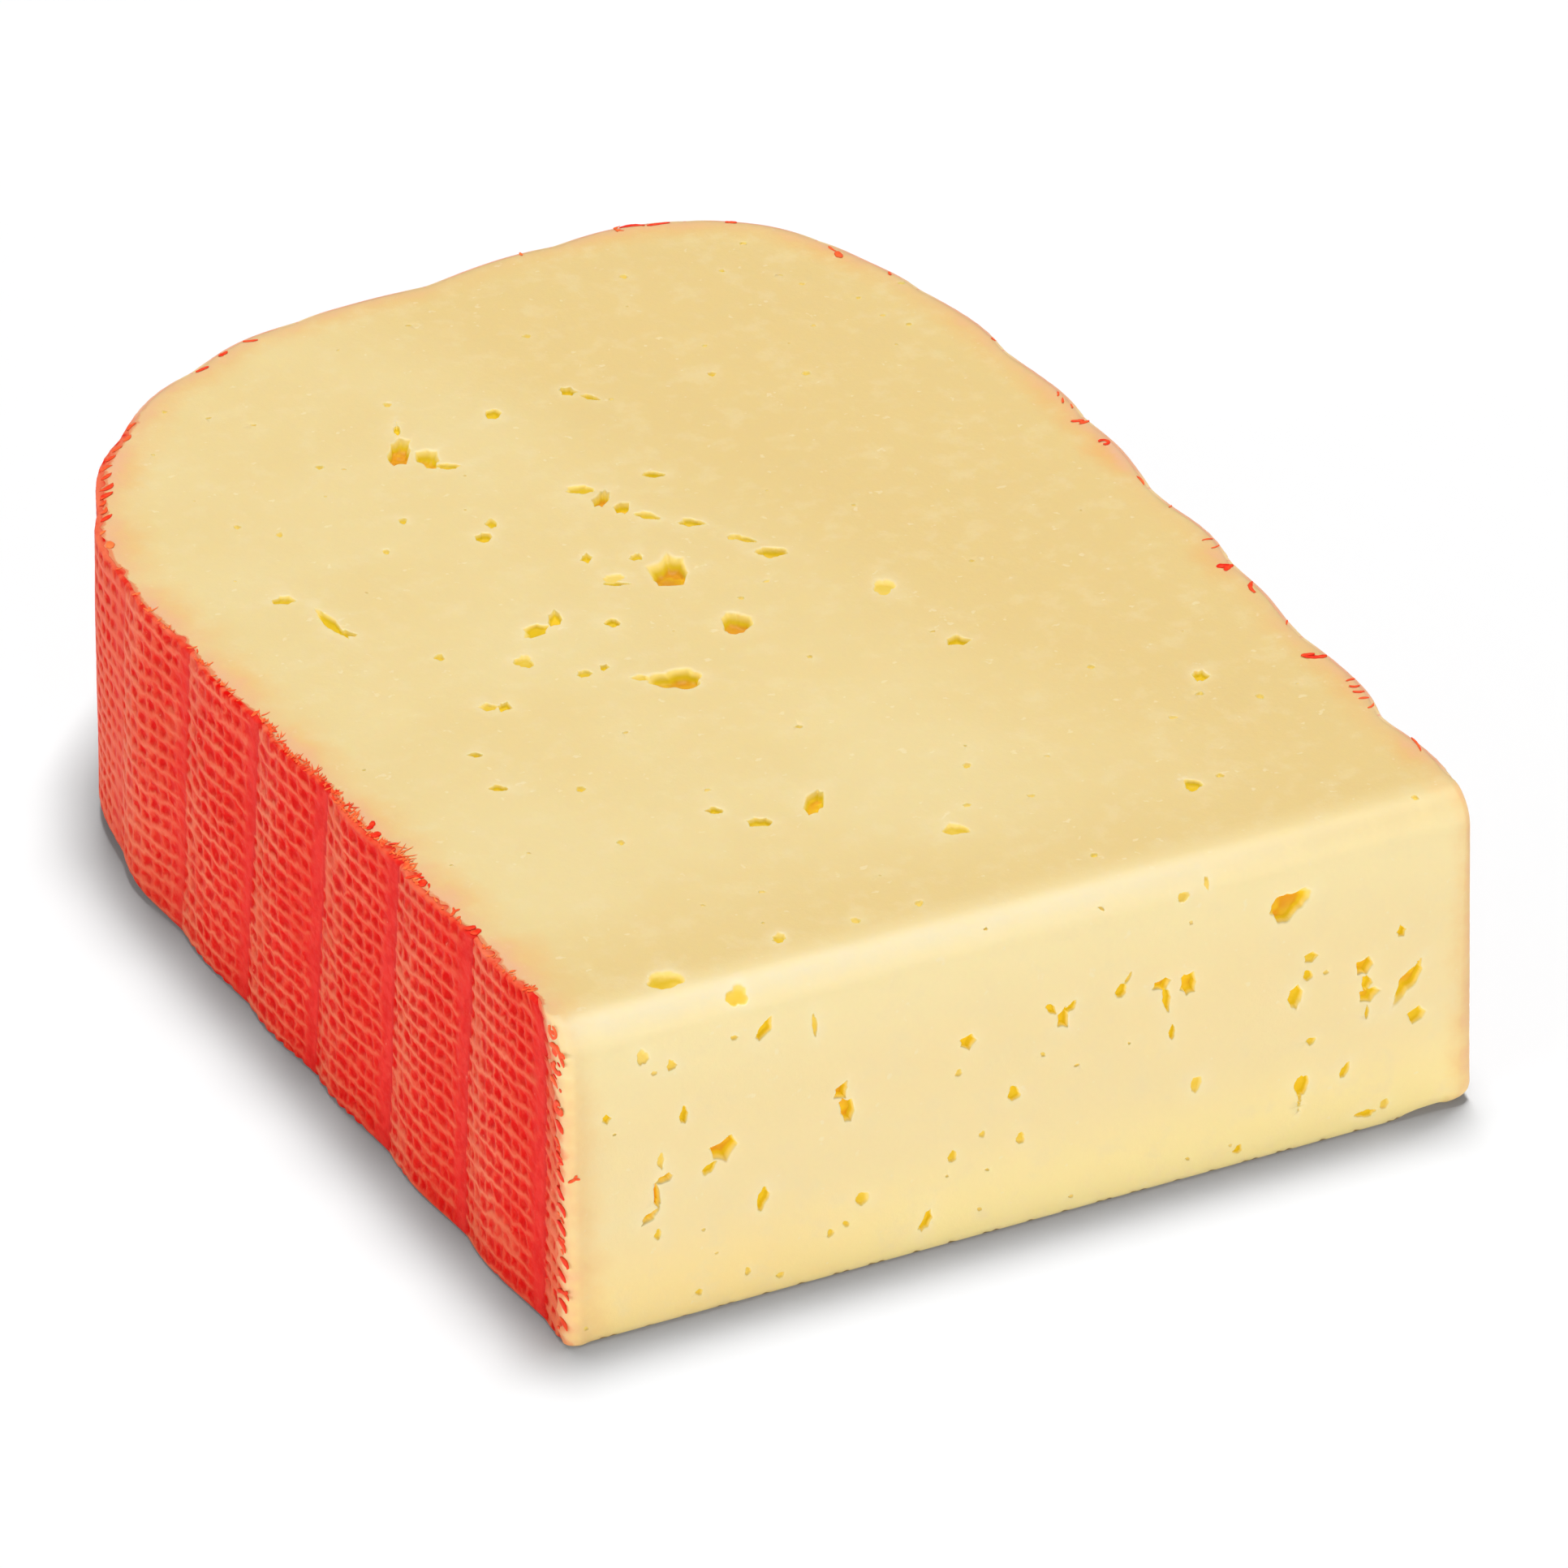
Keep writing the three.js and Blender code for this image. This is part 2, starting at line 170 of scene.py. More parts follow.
def soft_noise(x, y, size, seed):
    """Smooth noise between -1 and 1 whose lumps have the given size."""
    lattice = np.random.default_rng(seed).uniform(-1.0, 1.0, (256, 256))
    gx, gy = np.asarray(x) / size, np.asarray(y) / size
    ix, iy = np.floor(gx).astype(int), np.floor(gy).astype(int)
    fx, fy = gx - ix, gy - iy
    fx, fy = fx * fx * (3 - 2 * fx), fy * fy * (3 - 2 * fy)
    left, right, low, high = ix % 256, (ix + 1) % 256, iy % 256, (iy + 1) % 256
    bottom = lattice[left, low] * (1 - fx) + lattice[right, low] * fx
    top = lattice[left, high] * (1 - fx) + lattice[right, high] * fx
    return bottom * (1 - fy) + top * fy


def wavy(value, x, y, waves):
    """A value made uneven by noise of several sizes."""
    for amount, size, seed in waves:
        value = value + amount * soft_noise(x, y, size, seed)
    return value


def turned(x, y, angle):
    """A place turned about the origin."""
    cos, sin = math.cos(angle), math.sin(angle)
    return x * cos - y * sin, x * sin + y * cos


def tooth_reach(count, longest, seed, unevenness):
    """Reach of the tooth at a count of threads: rounded teeth of random length."""
    number = np.floor(count).astype(int)
    lengths = np.random.default_rng(seed).uniform(0.0, 1.0, TOOTH_LENGTHS) ** unevenness
    return longest * (lengths[number % TOOTH_LENGTHS] * np.sin(np.pi * (count - number)) ** 0.8)


# ------------------------------------------------------------------ outline of the wedge


def rounded_corner(before, corner, after, radius):
    """Points of the arc that rounds the corner between two straight edges."""
    before, corner, after = (np.array(p, float) for p in (before, corner, after))
    to_before = (before - corner) / np.linalg.norm(before - corner)
    to_after = (after - corner) / np.linalg.norm(after - corner)
    half = math.acos(float(to_before @ to_after)) / 2
    reach = radius / math.tan(half)
    towards = (to_before + to_after) / np.linalg.norm(to_before + to_after)
    centre = corner + towards * radius / math.sin(half)
    start, end = corner + to_before * reach - centre, corner + to_after * reach - centre
    first = math.atan2(start[1], start[0])
    turn = (math.atan2(end[1], end[0]) - first + math.pi) % (2 * math.pi) - math.pi
    angles = first + turn * np.linspace(0, 1, max(24, int(abs(turn) * radius / 0.1)))
    return centre + radius * np.stack([np.cos(angles), np.sin(angles)], 1)


def rind_outline():
    """Distances, places and headings along the rind, from the front left corner to the right."""
    front_left, front_right = (-WIDTH / 2, 0.0), (WIDTH / 2, 0.0)
    shoulder = (WIDTH / 2, SHOULDER_LENGTH)
    left_run = (LENGTH - HEEL_SLOPE * WIDTH / 2) / (1 + HEEL_SLOPE * LEFT_SPREAD)
    heel_left = (-WIDTH / 2 - LEFT_SPREAD * left_run, left_run)
    back_run = (LENGTH + HEEL_SLOPE * WIDTH / 2 - SHOULDER_LENGTH) / (1 + HEEL_SLOPE * SHOULDER_LEAN)
    heel_right = (shoulder[0] - SHOULDER_LEAN * back_run, shoulder[1] + back_run)
    corners = [front_right, front_left, heel_left, heel_right, shoulder, front_right, front_left]
    radii = [CORNER_RADIUS, LEFT_HEEL_RADIUS, RIGHT_HEEL_RADIUS, SHOULDER_RADIUS, CORNER_RADIUS]
    points = np.vstack([
        rounded_corner(*corners[number:number + 3], radius) for number, radius in enumerate(radii)
    ])
    steps = np.linalg.norm(np.diff(points, axis=0), axis=1)
    along = np.concatenate([[0.0], np.cumsum(steps)])
    headings = np.diff(points, axis=0) / steps[:, None]
    middles = (along[:-1] + along[1:]) / 2
    return along, points, middles, headings


ALONG, OUTLINE, HEADING_AT, HEADINGS = rind_outline()
RIND_LENGTH = ALONG[-1]


def outline_at(along):
    """Place and outward direction of the outline at distances along the rind."""
    place = np.stack([np.interp(along, ALONG, OUTLINE[:, axis]) for axis in (0, 1)], -1)
    heading = np.stack([np.interp(along, HEADING_AT, HEADINGS[:, axis]) for axis in (0, 1)], -1)
    heading /= np.linalg.norm(heading, axis=-1, keepdims=True)
    outward = np.stack([-heading[..., 1], heading[..., 0]], -1)
    return place, outward


def rounding_inset(distance, radius):
    """How far a quarter-round edge has come in, at a distance below the edge."""
    rise = np.clip(radius - distance, 0.0, radius)
    return radius - np.sqrt(radius * radius - rise * rise)


def front_inset(z):
    """Where the front cut stands at a height, with its soft top edge and its foot."""
    rounding = rounding_inset(HEIGHT - z, FRONT_EDGE_RADIUS) + rounding_inset(z, FRONT_FOOT_RADIUS)
    return rounding - FRONT_FLARE * (1 - z / HEIGHT)


def with_front_edge(points):
    """Points drawn back by the rounding of the front cut, which dies out along the sides."""
    y = points[..., 1]
    moved = points.copy()
    moved[..., 1] = y + front_inset(points[..., 2]) * np.clip(1 - y / FRONT_BLEND, 0.0, None)
    return moved


def with_worn_foot(points):
    """Points drawn in where the foot of the front right corner is worn round."""
    near = smoothstep(WIDTH / 2 - WORN_FOOT_WIDTH, WIDTH / 2 - 1, points[..., 0])
    near = near * (1 - smoothstep(0.0, WORN_FOOT_LENGTH, points[..., 1]))
    inset = near * rounding_inset(points[..., 2], WORN_FOOT_RADIUS) / math.sqrt(2)
    moved = points.copy()
    moved[..., 0] -= inset
    moved[..., 1] += inset
    return moved


# ------------------------------------------------------------------ relief of the rind


def crease_places():
    """Distances of the creases between the ribs, along the rind."""
    count = int(RIND_LENGTH / RIB_PITCH) + 3
    rib = np.arange(-1, count)
    growth = np.where(rib > 0, rib * (rib - 1) * RIB_PITCH_GROWTH, 0.0)
    return FIRST_CREASE + rib * RIB_PITCH + growth


CREASES = crease_places()


def rib_lean(along, z):
    """How much further back a crease runs at a height than at the top cut."""
    return RIB_SLANT * np.minimum(1.0, along / SLANT_RISE) * (1 - z / HEIGHT)


def humps(place, rows):
    """The sum of rounded humps, each with a middle, a height, and a reach over which it dies out."""
    return sum(height * np.exp(-((place - middle) / reach) ** 2) for middle, height, reach in rows)


def rib_share(along, z):
    """Place within a rib, from 0 at one crease to 1 at the next."""
    place = wavy(along - rib_lean(along, z), along, z, CREASE_WAVES)
    following = np.clip(np.searchsorted(CREASES, place), 1, len(CREASES) - 1)
    before, after = CREASES[following - 1], CREASES[following]
    return np.clip((place - before) / (after - before), 0.0, 1.0)


def rib_fullness(share):
    """0 in the crease, 1 at the crest: a slow rise and a quick fall."""
    return np.sin(np.pi * share ** (math.log(0.5) / math.log(RIB_CREST)))


def thread_count():
    """Threads of the weave counted along the rind, at even distances."""
    along = np.linspace(0.0, RIND_LENGTH, 2000)
    pitch = CLOSE_PITCH + (THREAD_PITCH - CLOSE_PITCH) * smoothstep(*CLOSE_REACH, along)
    return along, np.cumsum((along[1] - along[0]) / pitch)


THREADS_ALONG, THREADS = thread_count()


def weave_place(along, z):
    """Coordinates of the cloth weave: threads counted along the rind, and rows counted up it."""
    thread = wavy(np.interp(along, THREADS_ALONG, THREADS), along, z, THREAD_WAVES)
    row = wavy(z / ROW_PITCH + ROW_PHASE, along, z, ROW_WAVES)
    return thread, row + ROW_DROOP * np.exp(-along / ROW_DROOP_REACH)


def cell_depth(thread, row):
    """1 in the middle of a cell of the weave, 0 on the strands round it."""
    across = np.abs(thread - np.floor(thread) - 0.5) / CELL_LENGTH
    up = np.abs(row - np.floor(row) - 0.5) / CELL_HEIGHT
    reach = (across ** CELL_SQUARENESS + up ** CELL_SQUARENESS) ** (1 / CELL_SQUARENESS)
    return 1 - smoothstep(0.35, 1.1, reach)


def lip_reach(along):
    """How far the torn top edge of the rind lies over the top cut."""
    thread, _ = weave_place(along, HEIGHT)
    first, last = CLAWS
    teeth = (1 - smoothstep(first, last, along)) * tooth_reach(thread, *LIP_TEETH)
    in_claws = smoothstep(first - 2, first, along) * (1 - smoothstep(last, last + 2, along))
    claws = in_claws * tooth_reach(thread, *CLAW_TEETH)
    ends = smoothstep(*LIP_ENDS, along) * smoothstep(*LIP_ENDS, RIND_LENGTH - along)
    return LIP + ends * np.maximum(teeth, claws)


# ------------------------------------------------------------------ meshes


def new_piece(name, vertices, faces, smooth, material):
    """A mesh piece from places in millimetres; smooth says which faces are."""
    mesh = bpy.data.meshes.new(name)
    mesh.from_pydata((vertices * MM).tolist(), [], [list(map(int, face)) for face in faces])
    mesh.polygons.foreach_set("use_smooth", smooth)
    flat_corners = ~np.repeat(np.array(smooth), [len(face) for face in faces])
    edge_numbers = np.empty(len(mesh.loops), int)
    mesh.loops.foreach_get("edge_index", edge_numbers)
    crisp = np.zeros(len(mesh.edges), bool)
    crisp[edge_numbers[flat_corners]] = True
    mesh.edges.foreach_set("use_edge_sharp", crisp)
    mesh.materials.append(material)
    piece = bpy.data.objects.new(name, mesh)
    bpy.context.scene.collection.objects.link(piece)
    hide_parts("cheese_wedge")
    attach(piece, "root")
    return piece


def add_numbers(piece, name, values, kind="FLOAT", field="value"):
    """A number or a vector for each vertex, for the material to read."""
    attribute = piece.data.attributes.new(name, kind, "POINT")
    attribute.data.foreach_set(field, np.asarray(values, dtype=np.float32).ravel())


def grid_faces(columns, rows):
    """Quads of a grid numbered column by column, facing outwards."""
    here = (np.arange(columns - 1)[:, None] * rows + np.arange(rows - 1)[None, :]).ravel()
    return np.stack([here, here + 1, here + rows + 1, here + rows], 1)


def inside(polygon, points):
    """True for the points inside a closed polygon."""
    result = np.zeros(len(points), bool)
    x, y = points[:, 0], points[:, 1]
    for (x0, y0), (x1, y1) in zip(polygon, np.roll(polygon, -1, axis=0)):
        crosses = (y0 > y) != (y1 > y)
        if y0 != y1:
            result ^= crosses & (x < (x1 - x0) * (y - y0) / (y1 - y0) + x0)
    return result


def nearest(points, targets):
    """Distance from each point to the nearest target, and which target that is."""
    gaps, which = np.empty(len(points)), np.empty(len(points), int)
    for start in range(0, len(points), 2000):
        block = points[start:start + 2000]
        squares = ((block[:, None, :] - targets[None, :, :]) ** 2).sum(2)
        which[start:start + 2000] = squares.argmin(1)
        gaps[start:start + 2000] = np.sqrt(squares.min(1))
    return gaps, which


def honeycomb(low, high, step):
    """Points spaced evenly over a rectangle, in staggered rows."""
    rows = np.arange(low[1], high[1], step * math.sqrt(3) / 2)
    columns = np.arange(low[0], high[0], step)
    x, y = np.meshgrid(columns, rows)
    x = x + (np.arange(len(rows)) % 2)[:, None] * step / 2
    return np.stack([x.ravel(), y.ravel()], 1)


def triangulate(border, extra, margin):
    """Points and triangles that fill a closed border, through extra points well inside it."""
    extra = extra[inside(border, extra)]
    extra = extra[nearest(extra, border)[0] > margin]
    points = np.vstack([border, extra])
    count = len(border)
    edges = [(i, (i + 1) % count) for i in range(count)]
    coords = [Vector(p) for p in points.tolist()]
    _, _, faces, origins, _, _ = delaunay_2d_cdt(coords, edges, [], 1, 1e-5, True)
    source = [group[0] if group else -1 for group in origins]
    triangles = [[source[i] for i in face] for face in faces]
    triangles = np.array([t for t in triangles if min(t) >= 0 and len(set(t)) == 3])
    return points, triangles[inside(border, points[triangles].mean(1))]


def welded(sheets):
    """Points, faces, numbers and smoothness of sheets that share their edges."""
    points = np.vstack([sheet[0] for sheet in sheets])
    numbers = np.vstack([sheet[2] for sheet in sheets])
    offsets = np.cumsum([0] + [len(sheet[0]) for sheet in sheets])
    _, first, back = np.unique(np.round(points, 4), axis=0, return_index=True, return_inverse=True)
    back = back.ravel()
    faces, smooth = [], []
    for offset, sheet in zip(offsets, sheets):
        for face in sheet[1]:
            joined = [back[i + offset] for i in face]
            distinct = [v for v, before in zip(joined, joined[-1:] + joined[:-1]) if v != before]
            if len(distinct) > 2:
                faces.append(distinct)
                smooth.append(sheet[3])
    return points[first], faces, numbers[first], smooth


# ------------------------------------------------------------------ sides


def side_rows():
    """Heights and insets of the rows of points, and their share of the lip on top."""
    bend = np.linspace(0, math.pi / 2, RIM_ROWS + 1)
    wall = np.linspace(RIM_RADIUS, HEIGHT - RIM_RADIUS, WALL_ROWS)[1:-1]
    rise, fall = RIM_RADIUS * (1 - np.cos(bend)), RIM_RADIUS * (1 - np.sin(bend))
    heights = np.concatenate([rise, wall, HEIGHT - fall, np.full(LIP_ROWS, HEIGHT)])
    insets = np.concatenate([fall, 0 * wall, rise, np.full(LIP_ROWS, RIM_RADIUS)])
    lip = np.concatenate([np.zeros(len(heights) - LIP_ROWS), np.arange(1, LIP_ROWS + 1) / LIP_ROWS])
    return heights, insets, lip


def side_columns(heights):
    """Distances along the sides of each column of points, row by row: a strip, the rind, a strip."""
    tooth = heights / ROW_PITCH + TEETH_PHASE
    start = EDGE_START - tooth_reach(tooth, *EDGE_TEETH)
    start = start + EDGE_TEAR * smoothstep(*EDGE_TEAR_RISE, heights)
    end = EDGE_END - tooth_reach(tooth, *END_TEETH)
    even = np.concatenate([
        np.linspace(EDGE_START, FINE_STRETCH, FINE_STATIONS + 1)[:-1],
        np.linspace(FINE_STRETCH, RIND_LENGTH - EDGE_END, RIND_STATIONS - FINE_STATIONS + 1),
    ])[:, None]
    rind = even + (start - EDGE_START) * np.exp(-(even - EDGE_START) / EDGE_WARP)
    rind = rind - (end - EDGE_END) * np.exp(-(RIND_LENGTH - EDGE_END - even) / EDGE_WARP)
    share = np.linspace(0, 1, STRIP_STATIONS + 1)[:-1, None]
    return np.vstack([rind[:1] * share, rind, RIND_LENGTH - (RIND_LENGTH - rind[-1:]) * share[::-1]])


def side_points(along, z, inset, relief, depth=0.0):
    """Places on the sides, in by an inset and a depth, with a share of the weave's relief."""
    place, outward = outline_at(along)
    settle = np.clip(place[..., 1] / FRONT_EDGE_RADIUS, 0.0, 1.0)
    share = rib_share(along, z)
    band = 1 - smoothstep(BAND_SHARE, BAND_SHARE + 0.05, share)
    worn = wavy(0.75, along, z, WEAR_WAVES)
    weave = cell_depth(*weave_place(along, z)) * (1 - BARE_BAND * band) * worn * relief
    flare = LEFT_FLARE + (RIGHT_FLARE - LEFT_FLARE) * along / RIND_LENGTH
    outline = flare * (1 - z / HEIGHT) - humps(along, DENTS)
    ribs = RIB_DEPTH * (rib_fullness(share) - RIB_MIDDLE)
    sag = wavy(0.0, along, z, SAG_WAVES)
    worn_foot = humps(along, HEEL_WEAR) * rounding_inset(z, HEEL_FOOT_RADIUS)
    outwards = outline + settle * (ribs + sag - inset - worn_foot)
    outwards = outwards - (0.25 + 0.75 * settle) * WEAVE_DEPTH * weave
    x = place[..., 0] + outward[..., 0] * (outwards - depth)
    y = place[..., 1] + outward[..., 1] * (outwards * settle - depth)
    return with_front_edge(np.stack([x, y, np.broadcast_to(z, x.shape)], -1))


def side_grid():
    """Points of the sides, column by column, and the numbers that colour the rind there."""
    heights, insets, lip = side_rows()
    along = side_columns(heights)
    z = np.broadcast_to(heights, along.shape)
    over = lip * lip_reach(along)
    relief = np.zeros(along.shape)
    relief[STRIP_STATIONS:-STRIP_STATIONS] = 1 - smoothstep(HEIGHT - RIM_RADIUS, HEIGHT, heights)
    points = side_points(along, z, insets + over, relief)
    thread, row = weave_place(along, z + 0.7 * lip)
    share = rib_share(along, z)
    from_start = along - along[STRIP_STATIONS]
    from_end = along[-STRIP_STATIONS - 1] - along
    crease = FIRST_CREASE + rib_lean(FIRST_CREASE, z)
    at_ends = 0.35 * np.exp(-from_start / 1.2) + 0.6 * np.exp(-from_end / 1.8)
    at_corner = 0.5 * (1 - smoothstep(-0.6, 0.1, along - crease))
    wear = at_ends + at_corner + 0.3 * np.exp(-(HEIGHT - z) / 0.35)
    smear = smoothstep(*BACK_START, along) * smoothstep(HEIGHT - 1.3, HEIGHT - 0.3, z + 0 * along)
    numbers = [thread, row, share, along, np.clip(wear + over * 0.3, 0.0, 1.0), smear]
    return points, np.stack(numbers, -1)


def border_loop(table):
    """The entries of a table of the sides that lie on the rind's border, in order round it."""
    first, last = STRIP_STATIONS, len(table) - STRIP_STATIONS - 1
    foot, end = table[first:last + 1, 0], table[last, 1:]
    return np.concatenate([foot, end, table[last - 1:first - 1:-1, -1], table[first, -2:0:-1]])


def hidden_wall(along, depth):
    """The face between rind and paste, which drops in at the rind's border and runs behind it."""
    heights, insets, lip = side_rows()
    z = np.broadcast_to(heights, along.shape)
    inset = insets + lip * lip_reach(along)
    flat = border_loop(np.dstack([along, z + lip]))
    count = len(flat)
    extra = honeycomb(flat.min(0), flat.max(0), INNER_STEP)
    flat_points, triangles = triangulate(flat, extra, 0.9)
    low, high = 0.6 * depth, HEIGHT - 0.6 * depth
    sunk = np.maximum(depth, border_loop(inset))
    edge = side_points(flat[:, 0], border_loop(z).clip(low, high), 0.0, 0.0, sunk)
    inner = flat_points[count:]
    behind = side_points(inner[:, 0], inner[:, 1].clip(low, high), 0.0, 0.0, depth)
    here = np.arange(count)
    following = np.roll(here, -1)
    skirt = np.stack([here, following, following + count, here + count], 1)
    return np.vstack([edge, behind]), skirt, triangles + count


# ------------------------------------------------------------------ cut faces


def front_profile():
    """The front cut and the top cut as one run: distance, y and z."""
    low = np.linspace(0, FRONT_FOOT_RADIUS, 12)
    wall = np.linspace(FRONT_FOOT_RADIUS, HEIGHT - FRONT_EDGE_RADIUS, 60)[1:]
    turn = np.linspace(0, math.pi / 2, 40)[1:]
    z = np.concatenate([low, wall, HEIGHT - FRONT_EDGE_RADIUS * (1 - np.sin(turn))])
    y = np.concatenate([front_inset(z), [LENGTH * 1.1]])
    z = np.concatenate([z, [HEIGHT]])
    run = np.concatenate([[0.0], np.cumsum(np.hypot(np.diff(y), np.diff(z)))])
    return run, y, z


RUN, RUN_Y, RUN_Z = front_profile()
TOP_RUN = RUN[-2]           # where the run reaches the flat of the top cut
TOP_START = RUN_Y[-2]


def run_at_height(z):
    """Distance up the front cut at a height."""
    return np.interp(z, RUN_Z[:-1], RUN[:-1])


def on_cut(x, run, depth):
    """Places on the front and top cuts, sunk by a depth along the way in."""
    y = np.interp(run, RUN, RUN_Y)
    z = np.interp(run, RUN, RUN_Z)
    tilt = np.clip((run - run_at_height(HEIGHT - FRONT_EDGE_RADIUS)) / FRONT_EDGE_RADIUS, 0, math.pi / 2)
    return np.stack([x, y + np.cos(tilt) * depth, z - np.sin(tilt) * depth], -1)


OPENINGS_TURN = -25        # most openings in the top cut lie this way, in degrees
# Openings in the top cut: x, y, length, width, turn from that in degrees, depth, form (a bean
# if it isn't given), the side that slopes gently (60 degrees), and how gently (0.5).
TOP_OPENINGS = [
    (-18.3, 98.9, 3.0, 5.4, 0, 2.3, "rag", 20),
    (-16.4, 96.4, 3.0, 4.4, 0, 1.9, "rag", 45, 0.8),
    (-17.0, 102.6, 3.0, 0.7, 95, 0.9, "drop", 0),
    (-15.3, 94.3, 2.6, 1.6, 0, 0.8, "leaf", 60, 0.8),
    (1.0, 102.7, 2.2, 2.2, 0, 1.5, "rag"),
    (2.5, 100.6, 2.3, 1.1, -25, 0.8, "leaf", 60, 0.6),
    (-7.3, 101.6, 1.5, 2.2, 0, 1.0, "bean", 30, 0.6),
    (-4.4, 82.3, 1.8, 4.4, -15, 2.6, "rag", 20, 0.4),
    (-5.7, 84.8, 2.6, 1.9, 0, 0.7, "bean", 100, 0.8),
    (-3.5, 79.7, 1.7, 2.6, -10, 1.7, "rag", 30, 0.4),
    (-1.9, 77.6, 2.8, 1.7, -20, 0.7, "leaf", 60, 0.8),
    (1.8, 84.3, 2.4, 1.5, 0, 1.1, "leaf", 90),
    (1.3, 74.6, 2.7, 1.8, 0, 1.2, "leaf", 90),
    (5.9, 66.4, 3.3, 2.5, 0, 1.7, "leaf", 80),
    (4.6, 69.6, 2.6, 1.2, -20, 0.8, "leaf", 80, 0.7),
    (3.9, 70.4, 1.4, 1.2, 0, 0.5, "bean", 80, 0.7),
    (-4.3, 67.4, 4.8, 7.2, 0, 2.2, "rag", 110, 0.85),
    (-6.0, 71.1, 1.5, 1.8, 0, 0.7, "rag", 110, 0.7),
    (-2.5, 56.2, 2.7, 4.4, 0, 2.2, "bean", 60, 0.6),
    (-11.7, 49.6, 4.8, 3.9, 0, 2.0, "bean", 100, 0.7),
    (-14.6, 51.2, 2.0, 1.4, 0, 0.5, "leaf", 100, 0.9),
    (-17.5, 80.7, 1.8, 2.3, 0, 1.2, "rag"),
    (-15.8, 82.7, 1.2, 2.3, 0, 0.7, "leaf", 60, 0.6),
    (-10.4, 72.9, 1.4, 2.2, 0, 1.1, "rag", 60, 0.4),
    (-9.8, 67.5, 2.8, 0.9, 0, 0.9, "leaf", 90, 0.3),
    (-9.5, 68.6, 2.2, 1.6, 0, 0.35, "bean", 90, 0.9),
    (-17.6, 64.1, 1.7, 3.4, 0, 1.6, "rag", 150),
    (-20.2, 62.7, 2.6, 3.6, -30, 0.8, "rag", 180, 0.9),
    (-23.1, 58.5, 1.7, 2.6, 0, 0.6, "bean", 60, 0.8),
    (-12.9, 61.2, 1.6, 2.0, 0, 1.0, "leaf"),
    (-19.0, 54.1, 1.7, 1.7, 0, 0.7, "rag", 90, 0.6),
    (-16.9, 54.2, 1.2, 1.7, 0, 1.0, "rag", 90, 0.4),
    (-29.4, 52.6, 2.0, 1.6, 0, 0.6, "leaf", 150, 0.9),
    (-28.0, 52.0, 1.5, 1.9, 0, 1.1, "rag", 90, 0.3),
    (-39.0, 78.0, 2.6, 2.0, 0, 0.8, "rag", 60, 0.8),
    (-36.7, 72.6, 6.8, 1.3, -58, 0.9, "leaf", 60, 0.8),
    (-35.9, 69.9, 2.4, 1.5, -50, 1.5, "rag"),
    (-29.9, 62.5, 0.9, 1.4, 0, 0.6, "bean", 60, 0.6),
    (-33.7, 45.5, 1.5, 1.0, 0, 0.9, "leaf", 90, 0.4),
    (-34.1, 39.4, 1.9, 1.3, 0, 1.0, "leaf", 90, 0.4),
    (-27.4, 36.1, 0.8, 1.1, 0, 0.6, "bean", 90, 0.4),
    (-18.0, 27.6, 1.8, 1.3, 0, 1.0, "leaf", 90, 0.4),
    (-15.0, 24.1, 2.9, 2.1, 0, 1.3, "rag", 90),
    (-9.4, 24.8, 1.8, 4.8, -8, 1.9, "rag", 150, 0.4),
    (14.8, 44.6, 2.6, 2.3, 0, 1.4, "rag"),
    (12.9, 56.4, 2.3, 2.9, 0, 0.45, "bean", 60, 0.9),
    (32.2, 29.5, 1.9, 2.3, 0, 1.2, "rag", 90),
    (23.0, 13.1, 1.8, 1.9, 0, 1.1, "bean", 90),
    (0.3, 15.6, 2.2, 2.2, 0, 0.6, "bean", 60, 0.8),
    (-33.4, 4.6, 3.2, 3.4, 0, 0.6, "bean", 60, 0.9),
    (-28.1, 0.6, 2.1, 2.4, 0, 0.5, "bean", 60, 0.9),
    (-21.6, 6.2, 1.8, 2.1, 0, 0.6, "rag", 60, 0.8),
    (-23.2, 86.7, 0.9, 1.1, 0, 0.6),
    (-26.9, 82.1, 0.7, 1.0, 0, 0.5),
    (1.8, 114.1, 0.9, 1.0, 0, 0.5, "leaf"),
    (23.5, 95.8, 0.8, 1.0, 0, 0.5),
    (15.1, 99.6, 0.9, 1.2, 0, 0.6, "leaf"),
    (-15.9, 107.6, 0.8, 1.0, 0, 0.5),
    (-37.9, 92.3, 0.8, 0.9, 0, 0.5, "leaf"),
    (-34.8, 89.3, 0.7, 0.9, 0, 0.5),
    (-26.5, 99.3, 0.9, 1.0, 0, 0.6, "leaf"),
    (35.6, 23.9, 0.8, 0.9, 0, 0.5),
    (6.0, 24.8, 0.8, 1.0, 0, 0.5),
    (23.9, 35.2, 0.8, 1.0, 0, 0.5, "leaf"),
    (15.3, 120.9, 0.8, 0.9, 0, 0.5),
    (-8.0, 6.0, 0.8, 1.0, 0, 0.4),
    (-27.8, 26.4, 0.8, 1.0, 0, 0.5, "leaf"),
    (-14.3, 5.9, 0.9, 1.0, 0, 0.4),
]
